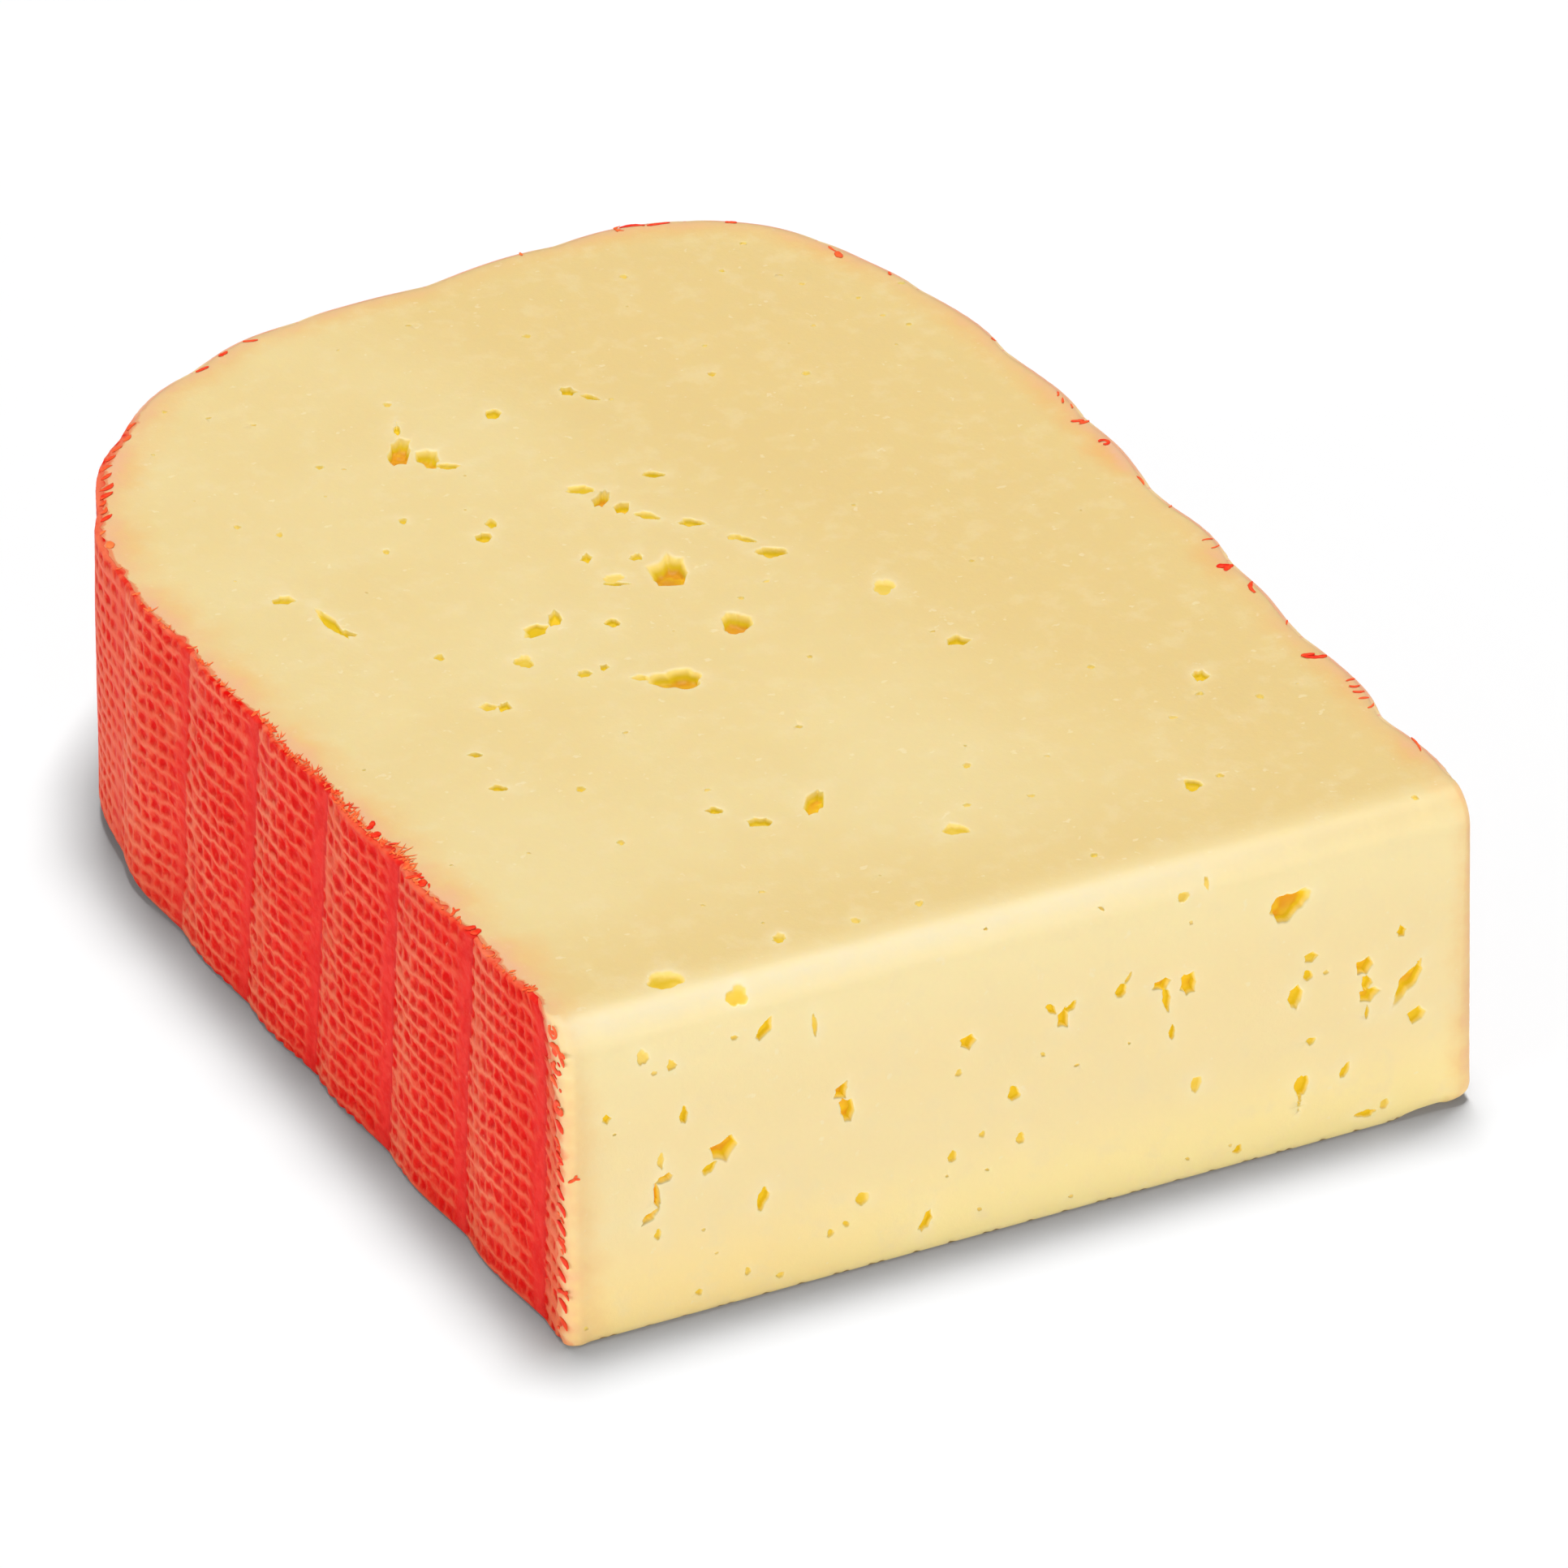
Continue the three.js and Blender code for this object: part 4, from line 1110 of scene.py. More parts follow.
TUFT_SPIKES = 5
FRINGE = 130               # small shreds scattered along the top rim
CRUMBS = 18                # and over the front left corner
SHRED_SIDES = 7
SHRED_FLATNESS = (0.10, 0.16)  # thickness of a shred as a share of its width
SHRED_THICKNESS = 0.045    # and half of what is added to that
SHRED_LIFT = 0.03
CORNER_SINK = 0.02         # the shreds on the corner are pressed in by this much


def spike_path(length, turn, start, rng):
    """Centre line of one fine spike that tapers to its tip, and its share of the width."""
    t = np.linspace(0.0, 1.0, 6)
    bow = rng.uniform(-0.22, 0.22) * length * t * t
    return np.stack(turned(t * length, bow, turn), 1) + start, 1.15 - 0.95 * t


def shred_paths(kind, length, rng):
    """Centre lines of one shred, flat, as lists of points, with a share of its width at each."""
    if kind == "spike":
        return [spike_path(length, 0.0, (-length / 2, 0.0), rng)]
    if kind == "tuft":
        spikes = []
        for _ in range(TUFT_SPIKES):
            start = rng.uniform(-0.15, 0.15) * length, rng.uniform(-0.45, 0.45) * length
            spikes.append(spike_path(length * rng.uniform(0.4, 1.0), rng.normal(0.0, 0.45), start, rng))
        return spikes
    count = 7 if kind in ("bar", "flake", "leaf", "fork") else 13
    t = np.linspace(-0.5, 0.5, count)
    bow = rng.uniform(-0.16, 0.16)
    straight = np.stack([t * length, bow * length * (1 - 4 * t * t)], 1)
    if kind == "leaf":
        return [(straight, np.sqrt(np.clip(1 - (1.8 * t) ** 2, 0.04, None)))]
    if kind in ("bar", "flake"):
        return [(straight, 1 + 0.22 * rng.uniform(-1, 1, count))]
    if kind == "fork":
        spread = rng.uniform(0.5, 0.8)
        tip = np.stack([(t + 0.5) * length * 0.55, (t + 0.5) * length * spread * 0.55], 1)
        low = tip * (1.0, -0.8)
        return [(straight - (0.3 * length, 0), np.ones(count)), (tip, 0.8 + 0 * t), (low, 0.75 + 0 * t)]
    sweep = math.radians(rng.uniform(320, 345) if kind == "ring" else rng.uniform(190, 280))
    radius = length * (0.42 if kind == "ring" else 0.36)
    angle = (t + 0.5) * sweep
    arc = radius * np.stack([np.cos(angle), np.sin(angle) * rng.uniform(0.75, 1.0)], 1)
    return [(arc, 1 + 0.15 * rng.uniform(-1, 1, count))]


def shred_tube(path, half_width, half_thickness, up):
    """Points and faces of one flattened, round-ended tube along a path."""
    heading = np.gradient(path, axis=0)
    heading /= np.linalg.norm(heading, axis=1, keepdims=True)
    side = np.cross(heading, up)
    side /= np.linalg.norm(side, axis=1, keepdims=True)
    lift = np.cross(side, heading)
    end = np.minimum(np.arange(len(path)), np.arange(len(path))[::-1])
    taper = np.array([0.45, 0.85, 1.0])[np.clip(end, 0, 2)]
    angle = np.arange(SHRED_SIDES) / SHRED_SIDES * 2 * math.pi
    wide = side[:, None] * (np.cos(angle)[:, None] * (half_width * taper)[:, None, None])
    tall = lift[:, None] * (np.sin(angle)[:, None] * (half_thickness * taper)[:, None, None])
    points = (path[:, None] + wide + tall).reshape(-1, 3)
    here = np.arange((len(path) - 1) * SHRED_SIDES)
    beside = here + np.where(here % SHRED_SIDES == SHRED_SIDES - 1, 1 - SHRED_SIDES, 1)
    faces = np.stack([here, here + SHRED_SIDES, beside + SHRED_SIDES, beside], 1).tolist()
    faces.append(list(range(SHRED_SIDES)))
    faces.append([len(points) - 1 - i for i in range(SHRED_SIDES)])
    return points, faces


def on_rim(along, inward):
    """Place, heading, way in and way up at the top rim."""
    place, outward = outline_at(np.array(along))
    heading = np.array([outward[1], -outward[0], 0.0])
    inwards = np.array([-outward[0], -outward[1], 0.0])
    ribs = RIB_DEPTH * (rib_fullness(rib_share(np.array(along), HEIGHT)) - RIB_MIDDLE)
    from_outline = inward + RIM_RADIUS + humps(along, DENTS) - float(ribs)
    ground = np.append(place, HEIGHT + SHRED_LIFT) + inwards * from_outline
    return with_front_edge(ground), heading, inwards, np.array([0.0, 0.0, 1.0])


def on_corner(along, z):
    """Place, way up, way forward and way out on the front left corner."""
    _, outward = outline_at(np.array(along))
    ground = side_points(np.array([along]), np.array([z]), np.array([CORNER_SINK]), 0.0)[0]
    forward = np.array([-outward[1], outward[0], 0.0])
    return ground, np.array([0.0, 0.0, 1.0]), forward, np.append(outward, 0.0)


def scattered_shreds(rng):
    """Rows like the tables above for the small shreds between the large ones."""
    rim, corner = [], []
    for _ in range(FRINGE):
        stretch = rng.random()
        along = rng.uniform(120.0, RIND_LENGTH - 6) if stretch < 0.1 else rng.uniform(5.0, 93.0)
        along = rng.uniform(28.0, 60.0) if stretch > 0.55 else along
        kind = rng.choice(["spike", "flake", "tuft", "flake"])
        length = rng.uniform(0.4, 1.0)
        inward = rng.uniform(0.0, 0.3)
        width = rng.uniform(0.16, 0.34)
        rim.append((kind, along, inward, length, width, rng.uniform(0, 110), rng.uniform(0.1, 0.8)))
    for _ in range(CRUMBS):
        kind = rng.choice(["leaf", "flake"])
        size = rng.uniform(0.4, 0.9), rng.uniform(0.3, 0.5)
        turn, redness = rng.uniform(60, 150), rng.uniform(0.4, 0.9)
        corner.append((kind, rng.uniform(1.4, 2.6), rng.uniform(1.0, 32.0), *size, turn, redness))
    return rim, corner


def all_shreds():
    """Points, faces and redness of every shred."""
    rng = np.random.default_rng(23)
    rim_rows, corner_rows = scattered_shreds(rng)
    places = [(on_rim, row) for row in TOP_SHREDS + rim_rows]
    places += [(on_corner, row) for row in CORNER_SHREDS + corner_rows]
    points, faces, tones = [], [], []
    count = 0
    for place_on, (kind, along, other, length, width, turn, redness) in places:
        ground, first, second, up = place_on(along, other)
        thickness = width * rng.uniform(*SHRED_FLATNESS)
        for path, widths in shred_paths(kind, length, rng):
            u, v = turned(*path.T, math.radians(turn))
            spine = ground + u[:, None] * first + v[:, None] * second
            spine = spine + up * (rng.uniform(0.0, 0.1) * np.linspace(-1, 1, len(path)) ** 2)[:, None]
            half_thickness = thickness / 2 * widths + SHRED_THICKNESS
            tube, tube_faces = shred_tube(spine, width / 2 * widths, half_thickness, up)
            points.append(tube)
            faces += [[i + count for i in face] for face in tube_faces]
            tones.append(np.full(len(tube), redness))
            count += len(tube)
    return np.vstack(points), faces, np.concatenate(tones)


# ------------------------------------------------------------------ materials


def new_node(tree, kind, values=(), **settings):
    """A shader node of a kind, with its settings, that is fed signals or plain values in order."""
    made = tree.nodes.new("ShaderNode" + kind)
    for name, setting in settings.items():
        setattr(made, name, setting)
    for socket, value in zip(made.inputs, values):
        feed(socket, value)
    return made


def feed(socket, value):
    """Joins a signal to a socket, or gives the socket a plain value."""
    if isinstance(value, Signal):
        value.tree.links.new(value.socket, socket)
    else:
        socket.default_value = value


def sum_of(operation, swapped=False):
    """The method that works out one kind of sum on two signals, or on a signal and a number."""
    def work_out(self, other):
        return self.math(operation, *((other, self) if swapped else (self, other)))
    return work_out


class Signal:
    """What a shader node gives out. Arithmetic on it adds the nodes that work it out."""

    def __init__(self, socket):
        self.socket = socket
        self.tree = socket.id_data

    def math(self, operation, *values):
        """A sum on the values, or on this signal alone."""
        return Signal(new_node(self.tree, "Math", values or (self,), operation=operation).outputs[0])

    __add__, __sub__, __rsub__ = sum_of("ADD"), sum_of("SUBTRACT"), sum_of("SUBTRACT", True)
    __mul__, __truediv__, __pow__ = sum_of("MULTIPLY"), sum_of("DIVIDE"), sum_of("POWER")

    def clamped(self):
        """The same, held between 0 and 1."""
        self.socket.node.use_clamp = True
        return self

    def vector(self, operation, *others):
        """A sum on this vector and others."""
        return Signal(new_node(self.tree, "VectorMath", (self, *others), operation=operation).outputs[0])

    def parts(self):
        """The three parts of a vector."""
        return [Signal(part) for part in new_node(self.tree, "SeparateXYZ", (self,)).outputs]

    def remap(self, low, high, to_low=0.0, to_high=1.0):
        """A smooth rise between two values, while this one goes from low to high."""
        values = (self, low, high, to_low, to_high)
        return Signal(new_node(self.tree, "MapRange", values, interpolation_type="SMOOTHSTEP").outputs[0])


def mix(amount, first, second):
    """The second colour over the first, by an amount."""
    tree = next(value.tree for value in (amount, first, second) if isinstance(value, Signal))
    made = new_node(tree, "Mix", data_type="RGBA")
    for number, value in zip((0, 6, 7), (amount, first, second)):
        feed(made.inputs[number], value)
    return Signal(made.outputs[2])


def layered(base, *layers):
    """A colour with others laid over it, each by its own amount."""
    for amount, tint in layers:
        base = mix(amount, base, tint)
    return base


class Look:
    """A new material, with short ways to start its signals and to feed its shader."""

    def __init__(self, name, roughness, specular):
        self.material = bpy.data.materials.new(name)
        self.material.use_nodes = True
        self.tree = self.material.node_tree
        self.shader = self.tree.nodes["Principled BSDF"].inputs
        self.shader["Roughness"].default_value = roughness
        self.shader["Specular IOR Level"].default_value = specular
        self.place = Signal(new_node(self.tree, "TexCoord").outputs["Object"])

    def attribute(self, name, output="Fac"):
        """What the mesh holds under a name."""
        return Signal(new_node(self.tree, "Attribute", attribute_name=name).outputs[output])

    def noise(self, scale, detail=3.0, roughness=0.5, output="Fac"):
        """Noise that is fixed to the wedge; its scale is in lumps per metre."""
        made = new_node(self.tree, "TexNoise", (self.place,))
        for name, value in (("Scale", scale), ("Detail", detail), ("Roughness", roughness)):
            made.inputs[name].default_value = value
        return Signal(made.outputs[output])

    def set_colour(self, base, bounce):
        """The colour as it is seen, and another where it only throws light on other things."""
        light_path = new_node(self.tree, "LightPath")
        feed(self.shader["Base Color"], mix(Signal(light_path.outputs["Is Diffuse Ray"]), base, bounce))

    def set_painted_glow(self, glow):
        """Painted glow: emission in the given colour, standing in for light."""
        feed(self.shader["Emission Color"], glow)
        self.shader["Emission Strength"].default_value = 1.0

    def set_relief(self, height, strength, distance):
        """Bumps too fine for the mesh."""
        made = new_node(self.tree, "Bump")
        for name, value in (("Height", height), ("Strength", strength), ("Distance", distance)):
            feed(made.inputs[name], value)
        feed(self.shader["Normal"], Signal(made.outputs["Normal"]))


def colour(red, green, blue):
    """A linear colour from the 0 to 255 values of a screen."""
    shares = [value / 255 for value in (red, green, blue)]
    return (*(s / 12.92 if s <= 0.04045 else ((s + 0.055) / 1.055) ** 2.4 for s in shares), 1.0)


def weave_group():
    """Masks of the cloth weave, from thread and row counts: cells, strands, and a number per cell."""
    group = bpy.data.node_groups.new("Cloth weave", "ShaderNodeTree")
    group.interface.new_socket(name="Place", in_out="INPUT", socket_type="NodeSocketVector")
    for label in ("Core", "Row strand", "Cross strand", "Cell"):
        group.interface.new_socket(name=label, in_out="OUTPUT", socket_type="NodeSocketFloat")
    given = Signal(group.nodes.new("NodeGroupInput").outputs["Place"])
    across, up = [(part.math("FRACT") - 0.5).math("ABSOLUTE") for part in given.parts()[:2]]
    cell = given.vector("FLOOR").vector("MULTIPLY", (1.0, 1.0, 0.0))
    number = Signal(new_node(group, "TexWhiteNoise", (cell,), noise_dimensions="3D").outputs["Value"])
    reach = (across / CELL_LENGTH) ** CELL_SQUARENESS + (up / CELL_HEIGHT) ** CELL_SQUARENESS
    core = 1 - (reach ** (1 / CELL_SQUARENESS)).remap(0.45, 1.2)

    def strand(from_centre, width):
        return (((0.5 - from_centre) / width) ** 2.0 * -1.0).math("EXPONENT")

    masks = (core, strand(up, 0.15), strand(across, 0.11) * (number * 0.6 + 0.05), number)
    for socket, mask in zip(group.nodes.new("NodeGroupOutput").inputs, masks):
        feed(socket, mask)
    return group


RIND_CELL = colour(222, 4, 0)
RIND_GROUND = colour(228, 22, 9)
RIND_GROUND_PALE = colour(229, 36, 22)
RIND_BLOTCH = colour(234, 70, 46)
RIND_STRAND = colour(234, 106, 72)
RIND_STRAND_PALE = colour(239, 120, 86)
RIND_BAND = colour(222, 20, 16)
RIND_BAND_PALE = colour(232, 46, 38)
RIND_BAND_START = colour(216, 30, 28)
# painted shade: darker red in the creases between the ribs
RIND_CREASE_SHADE = colour(200, 12, 14)
RIND_SCUFFED = colour(234, 112, 78)
RIND_WORN = colour(240, 140, 92)
RIND_GRAIN = colour(240, 110, 80)
# painted glints: small bright specks standing in for moist highlights
RIND_GLINT = colour(250, 180, 156)
RIND_BOUNCE = colour(112, 92, 90)
SMEAR_PINK = colour(235, 176, 140)
SMEAR_PALE = colour(236, 202, 150)


def rind_material():
    """Moist red rind: pale strands round deep red cells, a smooth band on each rib, painted shade in its
    creases and painted glints.
    """
    look = Look("Washed rind", 0.5, 0.06)
    given = look.attribute("weave_place", "Vector")
    stirred = look.noise(820.0, 2.0, 0.6, "Color").vector("SUBTRACT", (0.5, 0.5, 0.5))
    place = given.vector("ADD", stirred.vector("MULTIPLY", (0.95, 0.75, 0.0)))
    weave = look.tree.nodes.new("ShaderNodeGroup")
    weave.node_tree = weave_group()
    feed(weave.inputs[0], place)
    core, row_strand, cross_strand, cell = map(Signal, weave.outputs)
    share = given.parts()[2]
    broad = look.noise(75.0)
    patch = look.noise(260.0)
    blotch = look.noise(480.0, 3.0, 0.6)
    fine = look.noise(1500.0, 4.0, 0.65)
    along = look.attribute("distance_along")
    far = along.remap(50.0, 92.0)

    band_edge = (patch - 0.5) * 0.16 + share + far * 0.05
    band = (1 - band_edge.remap(BAND_SHARE - 0.08, BAND_SHARE + 0.03)) * (far * -0.8 + 1.0)
    woven = 1 - band
    scuffed = share.remap(0.6, 0.95) * blotch.remap(0.42, 0.6)
    scuffed = scuffed.math("MAXIMUM", scuffed, look.noise(130.0, 3.0, 0.6).remap(0.6, 0.7, 0.0, 0.7))
    shown = share.remap(0.2, 0.9, 0.6, 1.1)
    rows = row_strand * (shown * patch.remap(0.3, 0.65, 0.6, 1.15))
    strands = (rows.math("MAXIMUM", rows, cross_strand * shown) * (band * -0.95 + 1.0)).clamped()
    cores = core * (band * -0.8 + 1.0) * (scuffed * -0.6 + 1.0)
    depth = (cell * 0.5 + 0.65).clamped()
    wear = look.attribute("edge_wear") * patch.remap(0.35, 0.6, 0.4, 1.0)
    band_colour = mix(blotch.remap(0.46, 0.58), RIND_BAND_PALE, RIND_BAND)
    # mask of the painted shade in the creases
    crease = 1 - share.remap(0.0, 0.03)
    crease = crease.math("MAXIMUM", crease, share.remap(0.975, 1.0))
    across_rib = (share * math.pi).math("SINE")
    smeared = (look.attribute("smear") * patch.remap(0.3, 0.5, 0.8, 2.2)).clamped()
    base = layered(
        mix(broad.remap(0.4, 0.65), RIND_GROUND, RIND_GROUND_PALE),
        (blotch.remap(0.45, 0.7, 0.0, 0.35), RIND_BLOTCH),
        (wear * woven, RIND_WORN),
        (scuffed * (woven * 0.75), RIND_SCUFFED),
        # drawn paler further round the heel, in the scuffed colour
        (along.remap(70.0, 98.0, 0.0, 0.6), RIND_SCUFFED),
        (cores * depth, RIND_CELL),
        (strands, mix(broad.remap(0.35, 0.65), RIND_STRAND, RIND_STRAND_PALE)),
        (band * 0.85, mix(share.remap(0.0, 0.06), RIND_BAND_START, band_colour)),
        (fine.remap(0.45, 0.72, 0.0, 0.16), RIND_GRAIN),
        # painted glints
        (fine.remap(0.7, 0.76, 0.0, 0.4), RIND_GLINT),
        # painted shade in the creases
        (crease * (far * -0.3 + 0.5), RIND_CREASE_SHADE),
        (smeared, mix(across_rib.remap(0.2, 0.8), SMEAR_PALE, SMEAR_PINK)),
    )
    look.set_colour(base, RIND_BOUNCE)
    look.set_relief(fine * 1.1 + (strands - cores), 0.5, 0.00010)
    return look.material


SHRED_ORANGE = colour(238, 124, 66)
SHRED_RED = colour(222, 28, 14)
SHRED_BOUNCE = colour(250, 190, 140)
NO_GLOW = (0.0, 0.0, 0.0, 1.0)


def shred_material():
    """Crumbs and threads of rind, from deep red to orange, with a painted glow that lifts their shaded
    sides.
    """
    look = Look("Shreds of rind", 0.45, 0.1)
    fine = look.noise(1300.0, 3.0, 0.6)
    redness = ((fine - 0.5) * 0.9 + look.attribute("redness")).clamped()
    base = mix(redness, SHRED_ORANGE, SHRED_RED)
    look.set_colour(base, SHRED_BOUNCE)
    # painted glow that lifts the shreds' shaded sides
    look.set_painted_glow(mix(0.22, NO_GLOW, base))
    look.set_relief(fine, 0.4, 0.00008)
    return look.material


PASTE_TOP = colour(232, 207, 145)
PASTE_TOP_PALE = colour(234, 212, 153)
PASTE_WARM = colour(229, 201, 136)
PASTE_PALE = colour(238, 219, 170)
PASTE_SPECK = colour(246, 232, 196)
PASTE_FRONT = colour(243, 220, 162)
# Painted light on the front cut: paler towards its top edge, and brighter at its foot where the real
# light falls short
PASTE_BROW_LIT = colour(246, 226, 169)
PASTE_FOOT_LIT = colour(252, 229, 158)
PASTE_FOOT_LIT_LEFT = colour(250, 221, 149)
# Painted highlight on the rounded front edge: drawn whiter and less yellow, as if its gloss caught the
# light
PASTE_EDGE_HIGHLIGHT_LEFT = colour(233, 219, 181)
PASTE_EDGE_HIGHLIGHT_RIGHT = colour(231, 210, 156)
# Pale lips round the openings: partly pale skin, partly a painted highlight where the lips catch the
# light
PASTE_LIP_SKIN_AND_HIGHLIGHT = colour(249, 237, 203)
# Painted shade and light in the openings: golden where shallow, darker gold with depth, darkest in the
# deepest cracks
PASTE_HOLLOW_LIT = colour(242, 212, 120)
PASTE_HOLLOW_SHADE = colour(206, 165, 14)
PASTE_DEEPEST_SHADE = colour(186, 122, 6)
PASTE_BOUNCE = colour(120, 119, 116)
OPENING_BOUNCE = colour(250, 249, 246)
HALO_PINK = colour(238, 184, 142)
HALO_ORANGE = colour(237, 190, 124)
HALO_DEEP = colour(233, 172, 98)
STAIN = colour(238, 138, 90)
GLOW_FOOT = (0.06, 0.037, 0.012, 1.0)     # painted glow: lifts the shaded foot of the front cut; the glows below paint light into the openings
GLOW_SUNK = (0.25, 0.155, 0.0, 1.0)
GLOW_DARK = (0.31, 0.13, 0.0, 1.0)
GLOW_SUNK_TOP = (0.14, 0.108, 0.0, 1.0)   # less of it shows in the top cut
GLOW_DARK_TOP = (0.17, 0.08, 0.0, 1.0)


def paste_material():
    """Cut cheese: waxy pale yellow, warmer towards the rind, with painted shade and glow in its openings,
    a painted highlight on its rounded front edge and painted light on its front cut.
    """
    look = Look("Cheese paste", 0.52, 0.22)
    numbers = map(look.attribute, PASTE_NUMBERS)
    rim, fullness, corner, sunk, near, on_front, front_edge, hollow_shade_and_glow, back = numbers
    broad = look.noise(45.0)
    mottle = look.noise(330.0, 4.0, 0.6)
    fine = look.noise(1500.0, 3.0, 0.6)
    across, back_way, height = look.place.parts()

    # painted light: the front cut is drawn paler towards its top edge and brighter towards its foot
    front = mix(height.remap(0.020, 0.031), PASTE_FRONT, PASTE_BROW_LIT)
    foot = mix(across.remap(-0.025, -0.005), PASTE_FOOT_LIT_LEFT, PASTE_FOOT_LIT)
    ragged = ((mottle - 0.5) * 3.4 + rim) * (back * 0.45 + 1.0)
    reach = fullness * 0.75 + (back * -0.14 + 0.3)
    outer = (1 - ragged.remap(0.8, 5.6)) * reach
    inner = (1 - ragged.remap(0.2, 2.6)) * reach
    stain_rim = (look.noise(620.0, 3.0, 0.7) - 0.5) * 1.3 + rim
    stain = 1 - (stain_rim / (corner * 0.75 + 0.3)).remap(0.35, 1.25)
    deepest_shade = sunk.remap(0.75, 1.15)
    base = layered(
        mix(broad.remap(0.35, 0.68), PASTE_TOP, PASTE_TOP_PALE),
        ((back_way * 0.35 + across).remap(0.0, 0.022), PASTE_WARM),
        (back_way.remap(-0.044, -0.058, 0.0, 0.8), PASTE_WARM),
        # painted light on the front cut, paler at its top and brighter at its foot
        (on_front, mix(height.remap(0.013, 0.0), front, foot)),
        (mottle.remap(0.48, 0.74, 0.0, 0.35), PASTE_PALE),
        (look.noise(900.0, 2.0).remap(0.68, 0.76, 0.0, 0.4), PASTE_SPECK),
        # painted highlight along the rounded front edge
        (
            front_edge * mottle.remap(0.25, 0.6, 0.6, 0.9),
            mix(across.remap(0.005, 0.045), PASTE_EDGE_HIGHLIGHT_LEFT, PASTE_EDGE_HIGHLIGHT_RIGHT),
        ),
        ((outer * 0.85).clamped(), mix(back * 0.6, HALO_ORANGE, HALO_DEEP)),
        ((inner * 0.9).clamped(), HALO_PINK),
        (stain * (back * -0.9 + 0.9), STAIN),
        # pale lips: pale skin with a painted highlight
        (near * mottle.remap(0.3, 0.6, 0.3, 0.9) * 0.3, PASTE_LIP_SKIN_AND_HIGHLIGHT),
        # painted shade and light in the openings, by depth
        (hollow_shade_and_glow.remap(0.0, 0.2), PASTE_HOLLOW_LIT),
        (hollow_shade_and_glow.remap(0.15, 0.75), PASTE_HOLLOW_SHADE),
        (deepest_shade, PASTE_DEEPEST_SHADE),
    )
    look.set_colour(base, mix(sunk.remap(0.02, 0.2), PASTE_BOUNCE, OPENING_BOUNCE))
    look.set_painted_glow(layered(
        # painted glow that lifts the shaded foot of the front cut
        mix(height.remap(0.012, 0.0) * on_front, NO_GLOW, GLOW_FOOT),
        # painted glow inside the openings
        (hollow_shade_and_glow.remap(0.0, 0.6), mix(on_front, GLOW_SUNK_TOP, GLOW_SUNK)),
        (deepest_shade, mix(on_front, GLOW_DARK_TOP, GLOW_DARK)),
    ))
    look.shader["Subsurface Weight"].default_value = 0.3
    look.shader["Subsurface Radius"].default_value = (1.0, 0.7, 0.3)
    look.shader["Subsurface Scale"].default_value = 0.001
    look.set_relief(fine * 0.45 + mottle, 0.4, 0.00012)
    return look.material


# ------------------------------------------------------------------ the wedge

side_places, side_numbers = side_grid()
distance_along = side_numbers[..., 3]
cut = cut_faces(side_places, distance_along)
base = underside(side_places, distance_along)
wedge_low = np.minimum(side_places.reshape(-1, 3).min(0), cut[0].min(0))
wedge_high = np.maximum(side_places.reshape(-1, 3).max(0), cut[0].max(0))
CENTRE = np.array([(wedge_low[0] + wedge_high[0]) / 2, (wedge_low[1] + wedge_high[1]) / 2, 0.0])
cad_size = np.array(cad_high - cad_low) / MM
FIT = min(1.0, float(np.min(cad_size[:2] / (wedge_high - wedge_low)[:2])))


def to_frame(points):
    """Moves points from the wedge's own frame onto the CAD model's place."""
    shifted = with_worn_foot(points) - CENTRE
    shifted[:, :2] *= FIT
    return shifted


# Thread, row, share of the rib, distance along, wear and smear of the rind's hidden face.
HIDDEN_NUMBERS = (0.5, 0.5, 0.5, 100.0, 0.8, 0.0)


def add_rind():
    """The rind: its woven outer face, its broken edges and the hidden face behind it."""
    part = slice(STRIP_STATIONS, -STRIP_STATIONS)
    outer = side_places[part]
    columns, rows = outer.shape[:2]
    every = np.zeros(side_places.shape[:2], int)
    every[part] = np.arange(columns * rows).reshape(columns, rows)
    loop = border_loop(every)
    back_places, skirt, triangles = hidden_wall(distance_along, RIND_THICKNESS)
    number = np.concatenate([loop, columns * rows + np.arange(len(back_places))])
    points = np.vstack([outer.reshape(-1, 3), back_places])
    outer_faces = grid_faces(columns, rows).tolist()
    hidden_faces = number[skirt[:, ::-1]].tolist() + number[triangles].tolist()
    smooth = [True] * len(outer_faces) + [False] * len(hidden_faces)
    back_numbers = np.tile(HIDDEN_NUMBERS, (len(back_places), 1))
    numbers = np.vstack([side_numbers[part].reshape(-1, 6), back_numbers])
    faces = outer_faces + hidden_faces
    rind = new_piece("cheese_rind", to_frame(points), faces, smooth, rind_material())
    add_numbers(rind, "weave_place", numbers[:, :3], "FLOAT_VECTOR", "vector")
    for index, name in enumerate(("distance_along", "edge_wear", "smear"), 3):
        add_numbers(rind, name, numbers[:, index])


def add_paste():
    """The paste: its cut faces, the strips round the front corners, and the hidden face at the rind."""
    wall_places, skirt, triangles = hidden_wall(distance_along, RIND_THICKNESS + PASTE_GAP)
    wall_places = np.vstack([border_loop(side_places), wall_places])
    wall_faces = skirt.tolist() + triangles[:, ::-1].tolist()
    wall = (wall_places, wall_faces, paste_numbers(len(wall_places)), False)
    strips = corner_strips(side_places, distance_along)
    points, faces, numbers, smooth = welded([cut, base] + strips + [wall])
    paste = new_piece("cheese_paste", to_frame(points), faces, smooth, paste_material())
    for index, name in enumerate(PASTE_NUMBERS):
        add_numbers(paste, name, numbers[:, index])


def add_shreds():
    """The threads and crumbs of rind that the knife left on the cut edge."""
    points, faces, redness = all_shreds()
    smooth = [True] * len(faces)
    shreds = new_piece("rind_shreds", to_frame(points), faces, smooth, shred_material())
    add_numbers(shreds, "redness", redness)


add_rind()
add_paste()
add_shreds()

# ------------------------------------------------------------------ studio

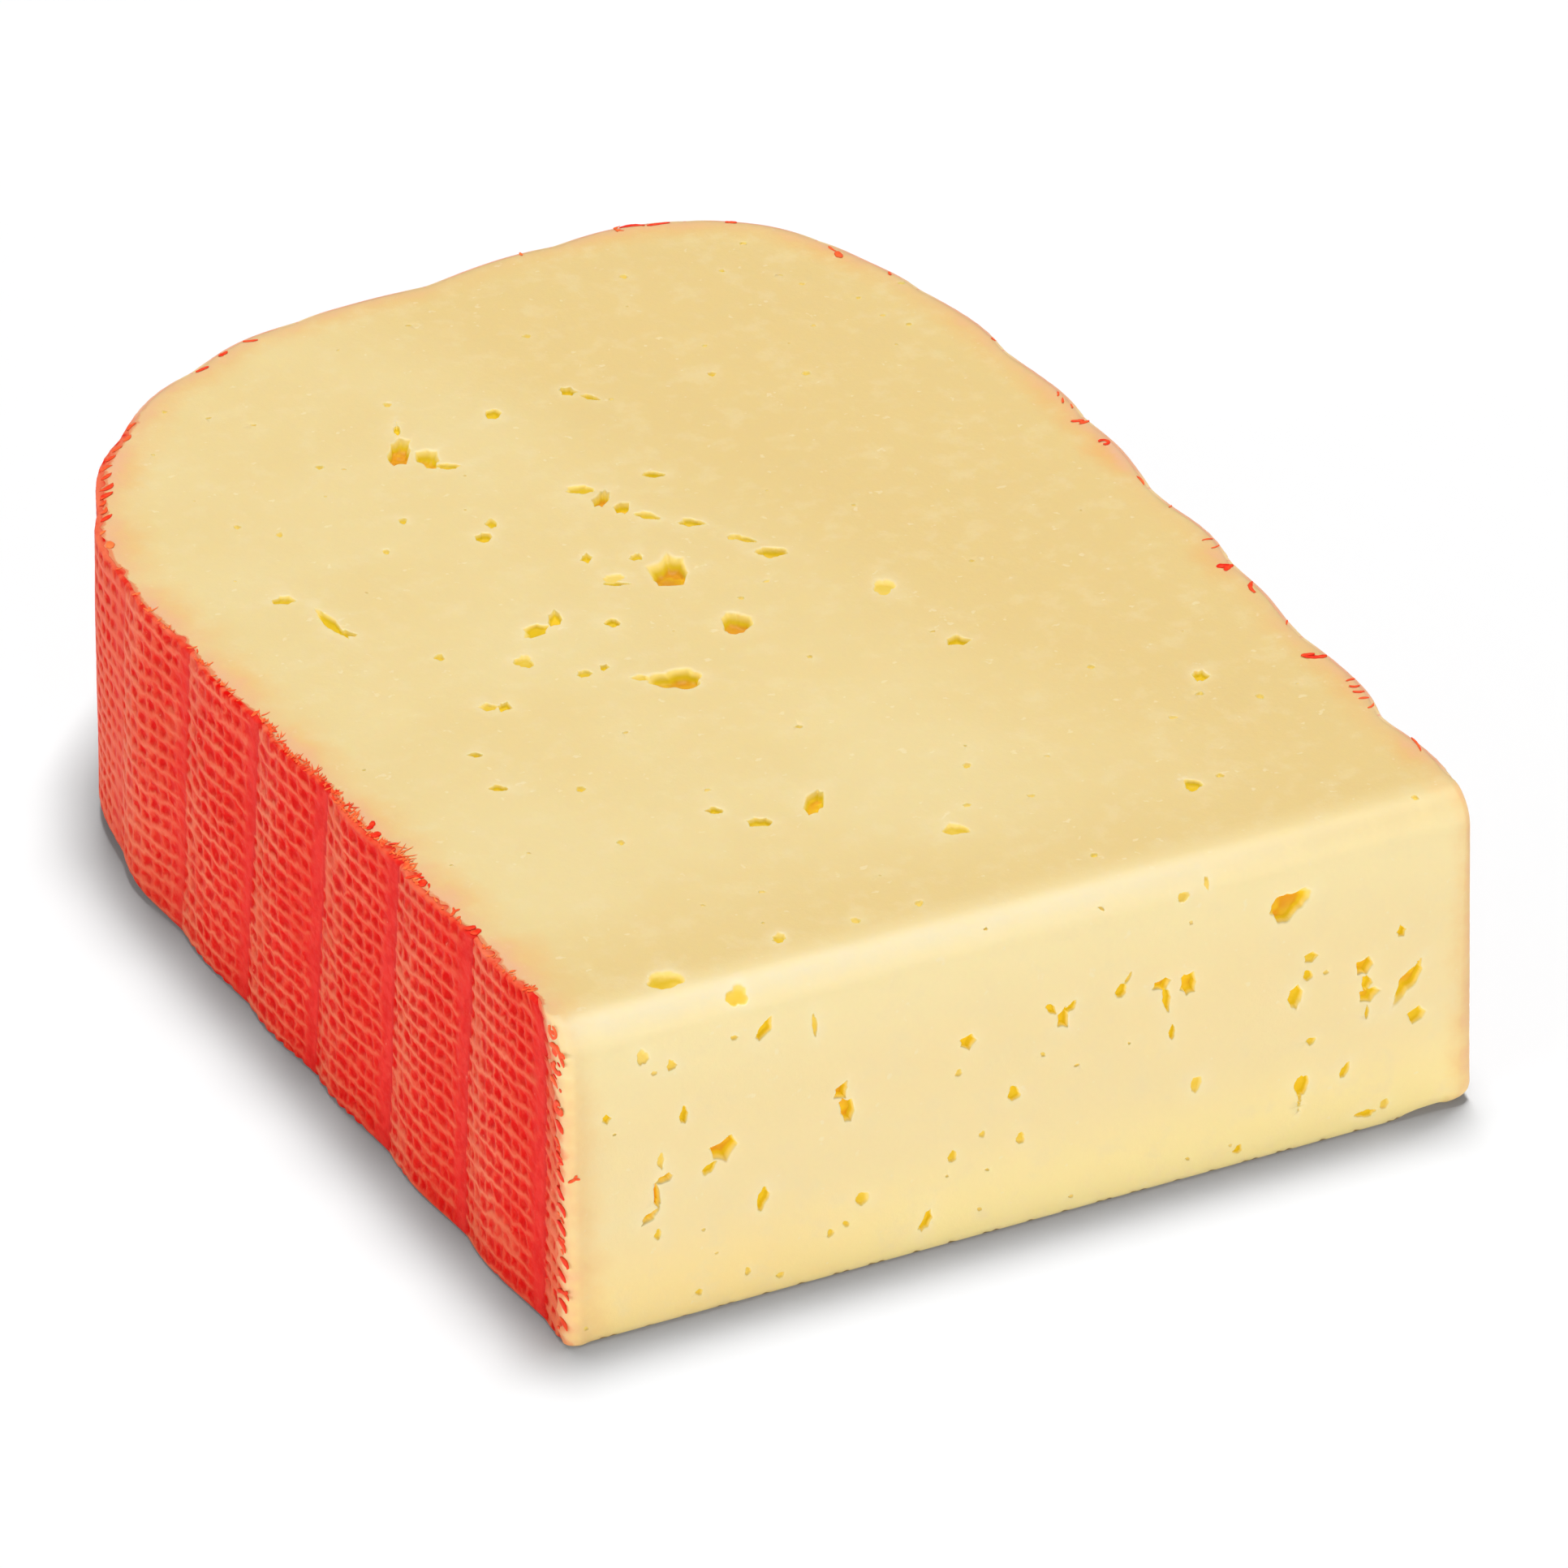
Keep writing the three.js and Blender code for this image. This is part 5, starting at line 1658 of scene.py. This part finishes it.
CAMERA_ANGLES = 205.25, 32.39     # compass angle from +Y, clockwise, and height angle, in degrees
CAMERA_DISTANCE = 809.9 * MM
CAMERA_AIM = np.array([-10.7, 28.4, 33.3])
CAMERA_SPREAD = math.radians(10.0)
LIGHT_DISTANCE = 1.6

# Softboxes: name, compass angle, height angle, width, height, and strength.
SOFTBOXES = [
    ("Key", 43.0, 82.6, 0.46, 0.46, 23.0),
    ("Front fill", 172.0, 6.0, 1.3, 0.26, 10.6),
    ("Left fill", 262.0, 6.0, 1.3, 0.26, 12.6),
]


def add_floor():
    """A plain pale floor, wide enough to fill the view."""
    mesh = bpy.data.meshes.new("Floor")
    reach = 6.0
    corners = [(-reach, -reach, 0), (reach, -reach, 0), (reach, reach, 0), (-reach, reach, 0)]
    mesh.from_pydata(corners, [], [(0, 1, 2, 3)])
    floor = bpy.data.objects.new("Floor", mesh)
    bpy.context.scene.collection.objects.link(floor)
    look = Look("Pale floor", 0.9, 0.1)
    look.shader["Base Color"].default_value = (0.96, 0.96, 0.96, 1.0)
    mesh.materials.append(look.material)


def set_up(name, data, compass, height, distance, aim=(0, 0, 0)):
    """A light or camera that looks at a place, from a compass angle, a height angle and a distance."""
    compass, height = math.radians(compass), math.radians(height)
    level = math.cos(height)
    back = Vector((math.sin(compass) * level, math.cos(compass) * level, math.sin(height)))
    tool = bpy.data.objects.new(name, data)
    tool.location = Vector(aim) + back * distance
    tool.rotation_euler = back.to_track_quat("Z", "Y").to_euler()
    bpy.context.scene.collection.objects.link(tool)
    return tool


def add_softbox(name, compass, height, wide, high, watts):
    """A flat area light that faces the wedge."""
    light = bpy.data.lights.new(name, "AREA")
    light.shape, light.size, light.size_y, light.energy = "RECTANGLE", wide, high, watts
    set_up(name, light, compass, height, LIGHT_DISTANCE)


def add_camera():
    """The camera, a little to the left of the front cut and looking down on the wedge."""
    data = bpy.data.cameras.new("Camera")
    data.sensor_width = 36.0
    data.lens = data.sensor_width / 2 / math.tan(CAMERA_SPREAD / 2)
    data.clip_start = 0.01
    aim = (CAMERA_AIM - CENTRE) * MM
    bpy.context.scene.camera = set_up("Camera", data, *CAMERA_ANGLES, CAMERA_DISTANCE, aim)


def add_world():
    """Soft light from all round."""
    world = bpy.data.worlds.new("Studio")
    world.use_nodes = True
    background = world.node_tree.nodes["Background"]
    background.inputs["Color"].default_value = (1.0, 1.0, 1.0, 1.0)
    background.inputs["Strength"].default_value = 0.12
    bpy.context.scene.world = world


add_floor()
for softbox in SOFTBOXES:
    add_softbox(*softbox)
add_camera()
add_world()
bpy.context.scene.view_settings.view_transform = "Standard"
